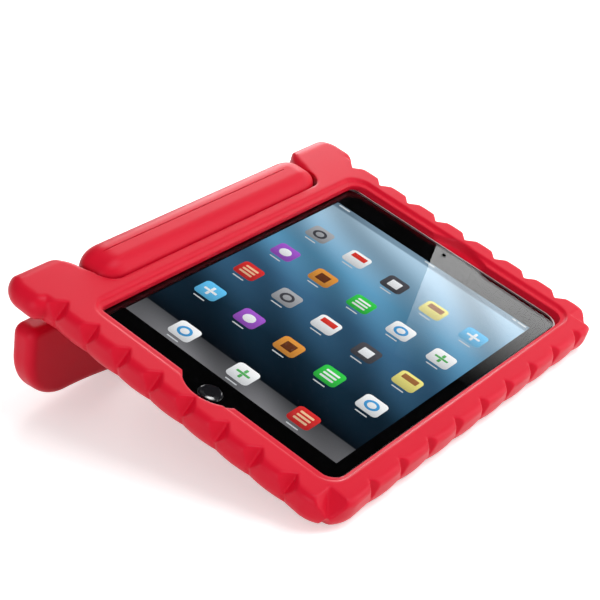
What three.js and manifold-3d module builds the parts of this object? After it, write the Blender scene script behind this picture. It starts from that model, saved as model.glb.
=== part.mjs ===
import * as THREE from "three";
import { mergeVertices } from "three/addons/utils/BufferGeometryUtils.js";
import { ConvexGeometry } from "three/addons/geometries/ConvexGeometry.js";
import Module from "manifold-3d";

const wasm = await Module();
wasm.setup();

// Driving dimensions, millimetres, in the case frame: x along the long side, y to the handle, z out of the glass
const TILT_DEG = 18.67;
const FIT_GAP = 0.3;
const FAR = 300;
const OVERCUT = 1;

// Tablet
const SHELL_X0 = -100.6;
const SHELL_X1 = 96.6;
const SHELL_HALF_Y = 67.6;
const SHELL_R = 9;
const SHELL_WALL = 1;
const SHELL_DEEP = 7.2;
const SHELL_EDGE = 2.4;
const SHELL_RIM = -0.5;
const GLASS_THICK = 1;
const GLASS_LOW = -GLASS_THICK;
const INNER_X0 = SHELL_X0 + SHELL_WALL;
const INNER_X1 = SHELL_X1 - SHELL_WALL;
const INNER_HALF_Y = SHELL_HALF_Y - SHELL_WALL;
const FLOOR_Z = -SHELL_DEEP + SHELL_WALL;
const HOME_R = 5;
const HOME_X = SHELL_X0 + 8.2;
const HOME_THICK = 1.6;
const HOME_TOP = -0.12;
const HOME_BOTTOM = HOME_TOP - HOME_THICK;
const HOME_CHAMFER = 0.4;
const HOME_CHAMFER_DEEP = 0.13;
const HOME_DISH_R = HOME_R * 0.6;
const HOME_DISH_EDGE = 0.23;
const HOME_DISH_DEEP = 0.33;
const SWITCH_R = 2.2;
const SWITCH_HIGH = 0.6;
const SWITCH_TOP = HOME_BOTTOM - 0.7;
const CAMERA_X = SHELL_X1 - 7;
const CAMERA_R = 1.7;
const REAR_CAMERA_X = SHELL_X1 - 9.6;
const REAR_CAMERA_Y = -SHELL_HALF_Y + 10.6;
const REAR_CAMERA_R = 4;
const REAR_CAMERA_PROUD = 0.25;
const DISPLAY_THICK = 1.8;
const DISPLAY_X0 = SHELL_X0 + 18;
const DISPLAY_X1 = SHELL_X1 - 16.8;
const DISPLAY_HALF_Y = SHELL_HALF_Y - 6.6;
const DISPLAY_TOP = GLASS_LOW - FIT_GAP;
const DISPLAY_LOW = DISPLAY_TOP - DISPLAY_THICK;

// Tablet buttons and sockets
const BUTTON_Z = -3.6;
const BUTTON_HIGH = 2;
const BUTTON_DEEP = 2.2;
const BUTTON_PROUD = 0.5;
const VOLUME_LONG = 12;
const VOLUME_UP_X = SHELL_X1 - 36.6;
const VOLUME_DOWN_X = VOLUME_UP_X - VOLUME_LONG - 3;
const MUTE_LONG = 5;
const MUTE_TRAVEL = 1;
const MUTE_X = VOLUME_UP_X + VOLUME_LONG / 2 + MUTE_LONG / 2 + MUTE_TRAVEL + 6.5;
const SLEEP_LONG = 9.8;
const SLEEP_Y = -SHELL_HALF_Y + 16.6;
const RELIEF_DEEP = 1.6;
const RELIEF_ROOM = 2.7;
const RELIEF_HIGH = 0.8;
const SOCKET_WIDE = 8;
const SOCKET_HIGH = 1.2;
const SOCKET_LONG = 7.9;
const SOCKET_Z = -4.5;
const JACK_R = 2;
const JACK_HOLE_R = 1.8;
const JACK_Z = -SHELL_DEEP + SHELL_WALL + JACK_R + FIT_GAP;
const JACK_Y = SHELL_HALF_Y - 17.6;
const JACK_LONG = 11.2;

// Tablet inside
const BATTERY_HALF_Y = DISPLAY_HALF_Y - 9;
const BATTERY_GAP = 4;
const BOARD_WIDE = 22;
const BOARD_Y0 = -DISPLAY_HALF_Y + 15;
const SPEAKER_LONG = 20;
const SPEAKER_WIDE = 12;
const SPEAKER_Y = 24;
const SPEAKER_X0 = INNER_X0 + 1.6;
const SPEAKER_RISE = 0.9;
const INSIDE_LOW = FLOOR_Z + FIT_GAP;
const INSIDE_TOP = DISPLAY_LOW - FIT_GAP;
const BOARD_X0 = DISPLAY_X1 - BOARD_WIDE;
const BATTERY_X0 = SPEAKER_X0 + SPEAKER_WIDE + BATTERY_GAP;
const BATTERY_X1 = BOARD_X0 - BATTERY_GAP;

// Foam case round the tablet
const RIM_SIDE = 11.6;
const RIM_FRONT = 13.6;
const BACK_THICK = 4;
const CASE_HALF_X = -SHELL_X0 + RIM_SIDE;
const CASE_FRONT_Y = -SHELL_HALF_Y - RIM_FRONT;
const CASE_TOP = 4.5;
const CASE_BOTTOM = -SHELL_DEEP - FIT_GAP - BACK_THICK;
const CASE_SPLIT = -0.5;
const TOP_ROUND = 3.4;
const BOTTOM_ROUND = 8.5;
const FRONT_CORNER_R = 16.5;
const SCALLOP = 1.2;
const SCALLOP_STEPS = 5;
const REAR_CAMERA_CLEAR = 4;
const REAR_CAMERA_FLARE = 2;

// Hinge line and ears
const HINGE_BACK = 21.4;
const AXIS_Y = SHELL_HALF_Y + HINGE_BACK;
const AXIS_Z = -3.5;
const EAR_REACH = 13.3;
const CASE_REAR_Y = AXIS_Y + EAR_REACH;
const REAR_ROUND = 7.9;
const EAR_FLARE = 0.8;
const EAR_BULGE = 5.6;
const EAR_BEVEL = 5.4;
const EAR_BEVEL_DEPTH = 6;
const EAR_BOTTOM = CASE_BOTTOM + 3.5;
const EAR_Y0 = AXIS_Y - 12;
const EAR_FRONT_R = 7;
const EAR_CORNER_R = 12;
const EAR_INNER_R = 17;
const EAR_BLEND = 6;

// Window over the glass and the shallow ledge round it
const LIP_HOME = 5.4;
const LIP_FAR = -0.3;
const LIP_FRONT = -0.3;
const LIP_REAR = 4.8;
const WINDOW_X0 = SHELL_X0 + LIP_HOME;
const WINDOW_X1 = SHELL_X1 - LIP_FAR;
const WINDOW_Y0 = -SHELL_HALF_Y + LIP_FRONT;
const WINDOW_Y1 = SHELL_HALF_Y - LIP_REAR;
const WINDOW_R = 7;
const WINDOW_SHARP_R = 2.5;
const LEDGE_WIDE = 4.2;
const LEDGE_FRONT = 2.31;
const LEDGE_DEEP = 1.3;
const SCOOP_FLARE = 1.4;
const HOME_SCOOP_R = 17.6;
const HOME_SCOOP_X = HOME_X + 6.1;
const CAMERA_SCOOP_R = 34.7;
const CAMERA_SCOOP_X = CAMERA_X - 22.4;
const CAMERA_SCOOP_Y = -4;

// V notches round the edge
const NOTCH_OPEN = 0.9;
const NOTCH_MID_Z = -3.2;
const NOTCH_MID_IN = 2.1;
const NOTCH_LOW_SHARE = 0.85;
const NOTCH_REACH = 9;
const NOTCH_OVER = 2;
const SIDE_NOTCH_FIRST = CASE_FRONT_Y + 24.8;
const SIDE_NOTCH_LAST = EAR_Y0 - 4.53;
const SIDE_NOTCHES = 8;
const SIDE_NOTCH_PITCH = (SIDE_NOTCH_LAST - SIDE_NOTCH_FIRST) / (SIDE_NOTCHES - 1);
const SIDE_NOTCH_IN = 7.3;
const FRONT_NOTCH_FIRST = -CASE_HALF_X + 29.3;
const FRONT_NOTCH_LAST = CASE_HALF_X - 23.18;
const FRONT_NOTCHES = 9;
const FRONT_NOTCH_PITCH = (FRONT_NOTCH_LAST - FRONT_NOTCH_FIRST) / (FRONT_NOTCHES - 1);
const FRONT_NOTCH_IN = 5;
const CORNER_NOTCH_IN = 11;

// Handle: the bar's section lies round the hinge line, and the plate hangs from it
const REST_ANGLE = 99;
const EAR_WIDE = 31.7;
const EAR_GAP = 1.2;
const EAR_INNER_X = CASE_HALF_X - EAR_WIDE;
const BAR_HALF_X = EAR_INNER_X - EAR_GAP;
const BAR_FRONT = 16.5;
const BAR_BACK = 7.5;
const BAR_BELOW = 8.5;
const BAR_ABOVE = 12.5;
const BAR_ROUND = 9;
const BAR_END_ROUND = 8.5;
const BAR_END_LENGTH = 13;
const SWING_GAP = 1.22;
const RECESS_R = Math.hypot(BAR_FRONT - BAR_ROUND, BAR_ABOVE - BAR_ROUND) + BAR_ROUND + SWING_GAP;
const RECESS_FILLET = 9.5;
const PLATE_THICK = 13;
const PLATE_OFFSET = 2;
const PLATE_ROUND = 4;
const PLATE_HALF_X = CASE_HALF_X;
const NECK_HALF_X = BAR_HALF_X - 7.3;
const SHOULDER_GAP = 1.3;
const SHOULDER_S = EAR_REACH + SHOULDER_GAP;
const SHOULDER_R = 5;
const NECK_EASE = 1.5;
const NECK_START = -3;
const FOOT_S = 60.5;
const FOOT_CORNER_R = 25;
const FOOT_RISE = 4.9;
const FOOT_FLAT_HALF_X = 30;
const FOOT_STEPS = 6;
const HAND_HALF_X = 52;
const HAND_S0 = 27;
const HAND_HIGH = 20;

// Hinge rod and bushings
const ROD_R = 3;
const BUSH_WALL = 1.7;
const BUSH_R = ROD_R + FIT_GAP + BUSH_WALL;
const BUSH_CAP = 1.6;
const BUSH_END = EAR_INNER_X + 17;
const ROD_HALF = BUSH_END - BUSH_CAP - 0.9;
const BUSH_START = EAR_INNER_X + FIT_GAP;

function toManifold(geometry) {
  const g = geometry.clone();
  g.deleteAttribute("normal");
  g.deleteAttribute("uv");
  const merged = mergeVertices(g, 1e-4);
  const mesh = new wasm.Mesh({
    numProp: 3,
    vertProperties: new Float32Array(merged.attributes.position.array),
    triVerts: new Uint32Array(merged.index.array)
  });
  mesh.merge();
  return new wasm.Manifold(mesh);
}

function toGeometry(manifold) {
  const mesh = manifold.getMesh();
  const g = new THREE.BufferGeometry();
  g.setAttribute("position", new THREE.BufferAttribute(new Float32Array(mesh.vertProperties), 3));
  g.setIndex(new THREE.BufferAttribute(new Uint32Array(mesh.triVerts), 1));
  g.computeVertexNormals();
  return g;
}

function box(x0, x1, y0, y1, z0, z1) {
  const g = new THREE.BoxGeometry(x1 - x0, y1 - y0, z1 - z0);
  g.translate((x0 + x1) / 2, (y0 + y1) / 2, (z0 + z1) / 2);
  return toManifold(g);
}

function cylinderZ(r0, r1, z0, z1, x, y, segments = 32) {
  const g = new THREE.CylinderGeometry(r1, r0, z1 - z0, segments);
  g.rotateX(Math.PI / 2);
  g.translate(x, y, (z0 + z1) / 2);
  return toManifold(g);
}

function cylinderX(r, x0, x1, y, z, segments = 32) {
  const g = new THREE.CylinderGeometry(r, r, x1 - x0, segments);
  g.rotateZ(Math.PI / 2);
  g.translate((x0 + x1) / 2, y, z);
  return toManifold(g);
}

function arc(cx, cy, r, a0, a1, n) {
  const pts = [];
  for (let i = 0; i <= n; i += 1) {
    const a = ((a0 + ((a1 - a0) * i) / n) * Math.PI) / 180;
    pts.push(new THREE.Vector2(cx + r * Math.cos(a), cy + r * Math.sin(a)));
  }
  return pts;
}

function roundedRect(x0, x1, y0, y1, r, n = 5) {
  return new THREE.Shape([
    ...arc(x1 - r, y1 - r, r, 0, 90, n),
    ...arc(x0 + r, y1 - r, r, 90, 180, n),
    ...arc(x0 + r, y0 + r, r, 180, 270, n),
    ...arc(x1 - r, y0 + r, r, 270, 360, n)
  ]);
}

function slab(shape, z0, z1, round = 0, segments = 3) {
  const g = new THREE.ExtrudeGeometry(shape, {
    depth: z1 - z0 - 2 * round,
    bevelEnabled: round > 0,
    bevelSize: round,
    bevelThickness: round,
    bevelOffset: -round,
    bevelSegments: segments,
    curveSegments: 6
  });
  g.translate(0, 0, z0 + round);
  return toManifold(g);
}

// Plan outline of the case, with a soft scallop between each pair of notches
function scallopRun(from, to, axis, fixed, out) {
  const pts = [];
  for (let i = 0; i < SCALLOP_STEPS; i += 1) {
    const t = i / SCALLOP_STEPS;
    const along = from + (to - from) * t;
    const off = fixed - out * SCALLOP * (1 - 4 * t * (1 - t));
    pts.push(axis === "x" ? new THREE.Vector2(along, off) : new THREE.Vector2(off, along));
  }
  return pts;
}

function sideNotches() {
  const ys = [];
  for (let i = 0; i < SIDE_NOTCHES; i += 1) {
    ys.push(SIDE_NOTCH_FIRST + SIDE_NOTCH_PITCH * i);
  }
  return ys;
}

function frontNotches() {
  const xs = [];
  for (let i = 0; i < FRONT_NOTCHES; i += 1) {
    xs.push(FRONT_NOTCH_FIRST + FRONT_NOTCH_PITCH * i);
  }
  return xs;
}

function caseOutline() {
  const pts = [];
  const hx = CASE_HALF_X;
  const r = FRONT_CORNER_R;
  const sides = sideNotches();
  const fronts = frontNotches();
  pts.push(...arc(-hx + r, CASE_FRONT_Y + r, r, 180, 270, 7));
  for (let i = 0; i < fronts.length - 1; i += 1) {
    pts.push(...scallopRun(fronts[i], fronts[i + 1], "x", CASE_FRONT_Y, -1));
  }
  pts.push(new THREE.Vector2(fronts[fronts.length - 1], CASE_FRONT_Y + SCALLOP));
  pts.push(...arc(hx - r, CASE_FRONT_Y + r, r, 270, 360, 7));
  for (let i = 0; i < sides.length - 1; i += 1) {
    pts.push(...scallopRun(sides[i], sides[i + 1], "y", hx, 1));
  }
  const last = sides[sides.length - 1];
  const ear = hx + EAR_FLARE;
  pts.push(new THREE.Vector2(hx - SCALLOP, last));
  pts.push(new THREE.Vector2(hx, last + EAR_BLEND));
  pts.push(...arc(ear - EAR_CORNER_R, CASE_REAR_Y - EAR_CORNER_R, EAR_CORNER_R, 0, 90, 7));
  const q = EAR_INNER_R;
  pts.push(...arc(EAR_INNER_X + q, CASE_REAR_Y - q, q, 90, 180, 6));
  pts.push(new THREE.Vector2(EAR_INNER_X, AXIS_Y + NECK_START));
  pts.push(new THREE.Vector2(-EAR_INNER_X, AXIS_Y + NECK_START));
  pts.push(...arc(-EAR_INNER_X - q, CASE_REAR_Y - q, q, 0, 90, 6));
  pts.push(...arc(-ear + EAR_CORNER_R, CASE_REAR_Y - EAR_CORNER_R, EAR_CORNER_R, 90, 180, 7));
  pts.push(new THREE.Vector2(-hx, last + EAR_BLEND));
  for (let i = sides.length - 1; i > 0; i -= 1) {
    pts.push(...scallopRun(sides[i], sides[i - 1], "y", -hx, -1));
  }
  pts.push(new THREE.Vector2(-hx + SCALLOP, sides[0]));
  return new THREE.Shape(pts);
}

// One V notch: two wedges whose creases meet at the widest line of the side
function notch(x, y, turnDeg, inTop) {
  const bottomIn = inTop * NOTCH_LOW_SHARE;
  const far = NOTCH_REACH;
  const wedge = (zA, inA, zB, inB) => {
    const pts = [];
    for (const [z, d] of [[zA, inA], [zB, inB]]) {
      pts.push(new THREE.Vector3(-d, 0, z));
      pts.push(new THREE.Vector3(far, NOTCH_OPEN * (far + d), z));
      pts.push(new THREE.Vector3(far, -NOTCH_OPEN * (far + d), z));
    }
    const g = new ConvexGeometry(pts);
    g.rotateZ((turnDeg * Math.PI) / 180);
    g.translate(x, y, 0);
    return toManifold(g);
  };
  const rise = CASE_TOP - NOTCH_MID_Z;
  const fall = NOTCH_MID_Z - CASE_BOTTOM;
  const over = NOTCH_OVER;
  const slope = (inTop - NOTCH_MID_IN) / rise;
  const slopeLow = (bottomIn - NOTCH_MID_IN) / fall;
  return [
    wedge(CASE_TOP + over, inTop + over * slope, NOTCH_MID_Z, NOTCH_MID_IN),
    wedge(NOTCH_MID_Z, NOTCH_MID_IN, CASE_BOTTOM - over, bottomIn + over * slopeLow)
  ];
}

function buildCase() {
  const outline = caseOutline();
  const upper = slab(outline, CASE_SPLIT - 12, CASE_TOP, TOP_ROUND, 3);
  const upperHalf = upper.intersect(box(-FAR, FAR, -FAR, FAR, CASE_SPLIT, FAR));
  const lower = slab(outline, CASE_BOTTOM, CASE_SPLIT + 24, BOTTOM_ROUND, 4);
  const lowerHalf = lower.intersect(box(-FAR, FAR, -FAR, FAR, -FAR, CASE_SPLIT));
  let body = upperHalf.add(lowerHalf);

  // Swelling sides on both ears, then their rear edge rolled down
  for (const side of [-1, 1]) {
    const outer = CASE_HALF_X + EAR_BULGE;
    const r = EAR_CORNER_R;
    const ear = new THREE.Shape([
      ...arc(outer - r, CASE_REAR_Y - r, r, 0, 90, 7),
      new THREE.Vector2(EAR_INNER_X + EAR_INNER_R, CASE_REAR_Y),
      new THREE.Vector2(EAR_INNER_X + EAR_INNER_R, EAR_Y0),
      ...arc(outer - EAR_FRONT_R, EAR_Y0 + EAR_FRONT_R, EAR_FRONT_R, 270, 360, 4)
    ]);
    const swell = new THREE.ExtrudeGeometry(ear, {
      depth: CASE_TOP - EAR_BOTTOM - 2 * EAR_BEVEL_DEPTH,
      bevelEnabled: true,
      bevelSize: EAR_BEVEL,
      bevelThickness: EAR_BEVEL_DEPTH,
      bevelOffset: -EAR_BEVEL,
      bevelSegments: 4
    });
    swell.translate(0, 0, EAR_BOTTOM + EAR_BEVEL_DEPTH);
    const block = toManifold(swell);
    body = body.add(side > 0 ? block : block.mirror([1, 0, 0]));
  }
  const side = roundedRect(-FAR, CASE_REAR_Y, CASE_BOTTOM, CASE_TOP, REAR_ROUND, 6);
  const roll = new THREE.ExtrudeGeometry(side, { depth: 2 * FAR, bevelEnabled: false });
  roll.rotateX(Math.PI / 2);
  roll.rotateZ(Math.PI / 2);
  roll.translate(-FAR, 0, 0);
  body = body.intersect(toManifold(roll));

  // Window, ledge and tablet pocket
  const g = FIT_GAP;
  const pocket = slab(
    roundedRect(SHELL_X0 - g, SHELL_X1 + g, -SHELL_HALF_Y - g, SHELL_HALF_Y + g, SHELL_R),
    -SHELL_DEEP - g,
    g
  );
  const w = WINDOW_R;
  const q = WINDOW_SHARP_R;
  const windowCut = slab(
    new THREE.Shape([
      ...arc(WINDOW_X1 - w, WINDOW_Y1 - w, w, 0, 90, 5),
      ...arc(WINDOW_X0 + q, WINDOW_Y1 - q, q, 90, 180, 4),
      ...arc(WINDOW_X0 + w, WINDOW_Y0 + w, w, 180, 270, 5),
      ...arc(WINDOW_X1 - w, WINDOW_Y0 + w, w, 270, 360, 5)
    ]),
    -OVERCUT,
    CASE_TOP + OVERCUT
  );
  const l = LEDGE_WIDE;
  const ledge = slab(
    roundedRect(WINDOW_X0 - l, WINDOW_X1 + l, WINDOW_Y0 - LEDGE_FRONT, WINDOW_Y1 + l, WINDOW_R + 3),
    CASE_TOP - LEDGE_DEEP,
    CASE_TOP + OVERCUT
  );
  const homeScoop = cylinderZ(
    HOME_SCOOP_R - SCOOP_FLARE, HOME_SCOOP_R, 0, CASE_TOP + OVERCUT, HOME_SCOOP_X, 0, 48
  );
  const cameraScoop = cylinderZ(
    CAMERA_SCOOP_R - SCOOP_FLARE, CAMERA_SCOOP_R, SHELL_RIM, CASE_TOP + OVERCUT, CAMERA_SCOOP_X, CAMERA_SCOOP_Y, 56
  );
  const cuts = [pocket, windowCut, ledge, homeScoop, cameraScoop];

  // Notches
  for (const y of sideNotches()) {
    cuts.push(...notch(-CASE_HALF_X + SCALLOP, y, 180, SIDE_NOTCH_IN - SCALLOP));
    cuts.push(...notch(CASE_HALF_X - SCALLOP, y, 0, SIDE_NOTCH_IN - SCALLOP));
  }
  for (const x of frontNotches()) {
    cuts.push(...notch(x, CASE_FRONT_Y + SCALLOP, -90, FRONT_NOTCH_IN - SCALLOP));
  }
  const c = FRONT_CORNER_R * (1 - Math.SQRT1_2);
  cuts.push(...notch(-CASE_HALF_X + c, CASE_FRONT_Y + c, 225, CORNER_NOTCH_IN));
  cuts.push(...notch(CASE_HALF_X - c, CASE_FRONT_Y + c, 315, CORNER_NOTCH_IN));

  // Swept recess for the handle's bar
  const profile = [new THREE.Vector2(0, -EAR_INNER_X)];
  const f = RECESS_FILLET;
  for (const p of arc(RECESS_R - f, -EAR_INNER_X + f, f, 270, 360, 5)) {
    profile.push(p);
  }
  for (const p of arc(RECESS_R - f, EAR_INNER_X - f, f, 0, 90, 5)) {
    profile.push(p);
  }
  profile.push(new THREE.Vector2(0, EAR_INNER_X));
  const swept = new THREE.LatheGeometry(profile, 48);
  swept.rotateZ(-Math.PI / 2);
  swept.translate(0, AXIS_Y, AXIS_Z);
  cuts.push(toManifold(swept));

  // Hinge bushing pockets in the ears
  for (const s of [-1, 1]) {
    const a = s * (EAR_INNER_X - OVERCUT);
    const b = s * (BUSH_END + FIT_GAP);
    cuts.push(cylinderX(BUSH_R + FIT_GAP, Math.min(a, b), Math.max(a, b), AXIS_Y, AXIS_Z, 28));
  }

  // Inner reliefs over the side buttons and the rear camera opening
  const half = BUTTON_HIGH / 2 + RELIEF_HIGH;
  const room = RELIEF_ROOM;
  const firstX = VOLUME_DOWN_X - VOLUME_LONG / 2 - room;
  const lastX = MUTE_X + MUTE_LONG / 2 + MUTE_TRAVEL + room;
  const sideY = -SHELL_HALF_Y;
  cuts.push(box(firstX, lastX, sideY - RELIEF_DEEP, sideY + OVERCUT, BUTTON_Z - half, BUTTON_Z + half));
  const sleep = SLEEP_LONG / 2 + room;
  cuts.push(box(
    SHELL_X1 - OVERCUT, SHELL_X1 + RELIEF_DEEP, SLEEP_Y - sleep, SLEEP_Y + sleep, BUTTON_Z - half, BUTTON_Z + half
  ));
  const eye = REAR_CAMERA_R + REAR_CAMERA_CLEAR;
  cuts.push(cylinderZ(
    eye + REAR_CAMERA_FLARE, eye, CASE_BOTTOM - OVERCUT, -SHELL_DEEP + OVERCUT, REAR_CAMERA_X, REAR_CAMERA_Y, 32
  ));

  return body.subtract(wasm.Manifold.union(cuts));
}

function handleOutline() {
  const pts = [];
  const w = PLATE_HALF_X;
  const r = SHOULDER_R;
  const c = FOOT_CORNER_R;
  const cornerS = FOOT_S - FOOT_RISE - c;
  const half = [
    new THREE.Vector2(NECK_HALF_X, NECK_START),
    new THREE.Vector2(NECK_HALF_X, SHOULDER_S - NECK_EASE),
    new THREE.Vector2(NECK_HALF_X + NECK_EASE, SHOULDER_S),
    ...arc(w - r, SHOULDER_S + r, r, -90, 0, 4),
    ...arc(w - c, cornerS, c, 0, 90, 9)
  ];
  const step = (w - c - FOOT_FLAT_HALF_X) / FOOT_STEPS;
  for (let i = 1; i <= FOOT_STEPS; i += 1) {
    const ease = (1 - Math.cos((Math.PI * i) / FOOT_STEPS)) / 2;
    half.push(new THREE.Vector2(w - c - step * i, FOOT_S - FOOT_RISE * (1 - ease)));
  }
  for (const p of half) {
    pts.push(p.clone());
  }
  for (const p of half.reverse()) {
    pts.push(new THREE.Vector2(-p.x, p.y));
  }
  const shape = new THREE.Shape(pts);
  shape.holes.push(new THREE.Path(
    roundedRect(-HAND_HALF_X, HAND_HALF_X, HAND_S0, HAND_S0 + HAND_HIGH, HAND_HIGH / 2, 6).getPoints().reverse()
  ));
  return shape;
}

// Handle at rest: the bar lies between the ears and the plate hangs from it as a foot
function buildHandle() {
  const t = PLATE_THICK / 2;
  const plate = new THREE.ExtrudeGeometry(handleOutline(), {
    depth: PLATE_THICK - 2 * PLATE_ROUND,
    bevelEnabled: true,
    bevelSize: PLATE_ROUND,
    bevelThickness: PLATE_ROUND,
    bevelOffset: -PLATE_ROUND,
    bevelSegments: 3
  });
  plate.translate(0, 0, PLATE_ROUND - t + PLATE_OFFSET);
  plate.rotateX((-REST_ANGLE * Math.PI) / 180);
  plate.translate(0, AXIS_Y, AXIS_Z);
  const section = roundedRect(
    AXIS_Y - BAR_FRONT, AXIS_Y + BAR_BACK, AXIS_Z - BAR_BELOW, AXIS_Z + BAR_ABOVE, BAR_ROUND, 6
  );
  const bar = new THREE.ExtrudeGeometry(section, {
    depth: 2 * (BAR_HALF_X - BAR_END_LENGTH),
    bevelEnabled: true,
    bevelSize: BAR_END_ROUND,
    bevelThickness: BAR_END_LENGTH,
    bevelOffset: -BAR_END_ROUND,
    bevelSegments: 4
  });
  bar.rotateX(Math.PI / 2);
  bar.rotateZ(Math.PI / 2);
  bar.translate(-BAR_HALF_X + BAR_END_LENGTH, 0, 0);
  const bore = cylinderX(ROD_R + FIT_GAP, -BUSH_END, BUSH_END, AXIS_Y, AXIS_Z, 24);
  return toManifold(bar).add(toManifold(plate)).subtract(bore);
}

function buildBushing(s) {
  const r = BUSH_R;
  const inner = BUSH_R - BUSH_WALL;
  const a = BUSH_START;
  const b = BUSH_END;
  const profile = [
    new THREE.Vector2(0, b),
    new THREE.Vector2(0, b - BUSH_CAP),
    new THREE.Vector2(inner, b - BUSH_CAP),
    new THREE.Vector2(inner, a),
    new THREE.Vector2(r, a),
    new THREE.Vector2(r, b),
    new THREE.Vector2(0, b)
  ];
  const g = new THREE.LatheGeometry(profile, 28);
  g.rotateZ(-Math.PI / 2);
  if (s < 0) {
    g.rotateY(Math.PI);
  }
  g.translate(0, AXIS_Y, AXIS_Z);
  return toManifold(g);
}

// Aluminium tray of the tablet, with its slots and sockets
function buildShell() {
  const outer = slab(
    roundedRect(SHELL_X0, SHELL_X1, -SHELL_HALF_Y, SHELL_HALF_Y, SHELL_R),
    -SHELL_DEEP,
    SHELL_DEEP,
    SHELL_EDGE,
    3
  ).intersect(box(-FAR, FAR, -FAR, FAR, -FAR, SHELL_RIM));
  const cavity = slab(
    roundedRect(INNER_X0, INNER_X1, -INNER_HALF_Y, INNER_HALF_Y, SHELL_R - SHELL_WALL), FLOOR_Z, OVERCUT
  );
  const cuts = [cavity];
  const socket = SOCKET_WIDE / 2 + FIT_GAP;
  const mouth = SOCKET_HIGH / 2 + FIT_GAP;
  cuts.push(box(SHELL_X0 - OVERCUT, INNER_X0 + OVERCUT, -socket, socket, SOCKET_Z - mouth, SOCKET_Z + mouth));
  cuts.push(cylinderX(JACK_HOLE_R, INNER_X1 - OVERCUT, SHELL_X1 + OVERCUT, JACK_Y, JACK_Z, 20));
  const high = BUTTON_HIGH / 2 + FIT_GAP;
  const slot = (x, half) => box(
    x - half, x + half, -SHELL_HALF_Y - OVERCUT, -INNER_HALF_Y + OVERCUT, BUTTON_Z - high, BUTTON_Z + high
  );
  cuts.push(slot(VOLUME_UP_X, VOLUME_LONG / 2 + FIT_GAP));
  cuts.push(slot(VOLUME_DOWN_X, VOLUME_LONG / 2 + FIT_GAP));
  cuts.push(slot(MUTE_X, MUTE_LONG / 2 + MUTE_TRAVEL + FIT_GAP));
  const sleep = SLEEP_LONG / 2 + FIT_GAP;
  cuts.push(box(
    INNER_X1 - OVERCUT, SHELL_X1 + OVERCUT, SLEEP_Y - sleep, SLEEP_Y + sleep, BUTTON_Z - high, BUTTON_Z + high
  ));
  const eye = REAR_CAMERA_R + FIT_GAP;
  cuts.push(cylinderZ(eye, eye, -SHELL_DEEP - OVERCUT, FLOOR_Z + OVERCUT, REAR_CAMERA_X, REAR_CAMERA_Y, 28));
  return outer.subtract(wasm.Manifold.union(cuts));
}

function buildGlass() {
  const g = FIT_GAP;
  const plate = slab(
    roundedRect(INNER_X0 + g, INNER_X1 - g, -INNER_HALF_Y + g, INNER_HALF_Y - g, SHELL_R - SHELL_WALL - g),
    GLASS_LOW,
    0
  );
  return plate.subtract(cylinderZ(HOME_R + g, HOME_R + g, GLASS_LOW - OVERCUT, OVERCUT, HOME_X, 0, 40));
}

function buildHomeButton() {
  const profile = [
    new THREE.Vector2(0, HOME_BOTTOM),
    new THREE.Vector2(HOME_R, HOME_BOTTOM),
    new THREE.Vector2(HOME_R, HOME_TOP - HOME_CHAMFER_DEEP),
    new THREE.Vector2(HOME_R - HOME_CHAMFER, HOME_TOP),
    new THREE.Vector2(HOME_DISH_R, HOME_TOP - HOME_DISH_EDGE),
    new THREE.Vector2(0, HOME_TOP - HOME_DISH_DEEP)
  ];
  const g = new THREE.LatheGeometry(profile, 36);
  g.rotateX(Math.PI / 2);
  g.translate(HOME_X, 0, 0);
  return toManifold(g);
}

function pill(length, height, deep) {
  return slab(roundedRect(-length / 2, length / 2, -height / 2, height / 2, height / 2 - 0.01, 4), 0, deep);
}

// A button in the long edge of the tablet
function edgeButton(x, length) {
  return pill(length, BUTTON_HIGH, BUTTON_DEEP)
    .rotate([90, 0, 0])
    .translate([x, -SHELL_HALF_Y - BUTTON_PROUD + BUTTON_DEEP, BUTTON_Z]);
}

function buildSleepButton() {
  return pill(SLEEP_LONG, BUTTON_HIGH, BUTTON_DEEP)
    .rotate([90, 0, 90])
    .translate([SHELL_X1 + BUTTON_PROUD - BUTTON_DEEP, SLEEP_Y, BUTTON_Z]);
}

// A plain round barrel, for the lenses and the switch
function barrel(x, y, r, z0, z1, segments = 28) {
  return cylinderZ(r, r, z0, z1, x, y, segments);
}

function mesh(name, manifold, color, roughness, metalness = 0) {
  const material = new THREE.MeshStandardMaterial({ color, roughness, metalness });
  const m = new THREE.Mesh(toGeometry(manifold), material);
  m.name = name;
  return m;
}

// Assembly
const root = new THREE.Group();
root.name = "kids_tablet_case";
const tilted = new THREE.Group();
tilted.name = "tilted_case";
const caseGroup = new THREE.Group();
caseGroup.name = "foam_case";
const handleGroup = new THREE.Group();
handleGroup.name = "swivel_handle";
const tablet = new THREE.Group();
tablet.name = "tablet";

const RED = 0xd7263a;
caseGroup.add(mesh("case_body", buildCase(), RED, 0.5));
caseGroup.add(mesh("hinge_bushing_left", buildBushing(-1), 0x2a2a2c, 0.6));
caseGroup.add(mesh("hinge_bushing_right", buildBushing(1), 0x2a2a2c, 0.6));
handleGroup.add(mesh("handle", buildHandle(), RED, 0.5));
handleGroup.add(mesh("hinge_rod", cylinderX(ROD_R, -ROD_HALF, ROD_HALF, AXIS_Y, AXIS_Z, 24), 0xb8bcc2, 0.3, 1));

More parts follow.
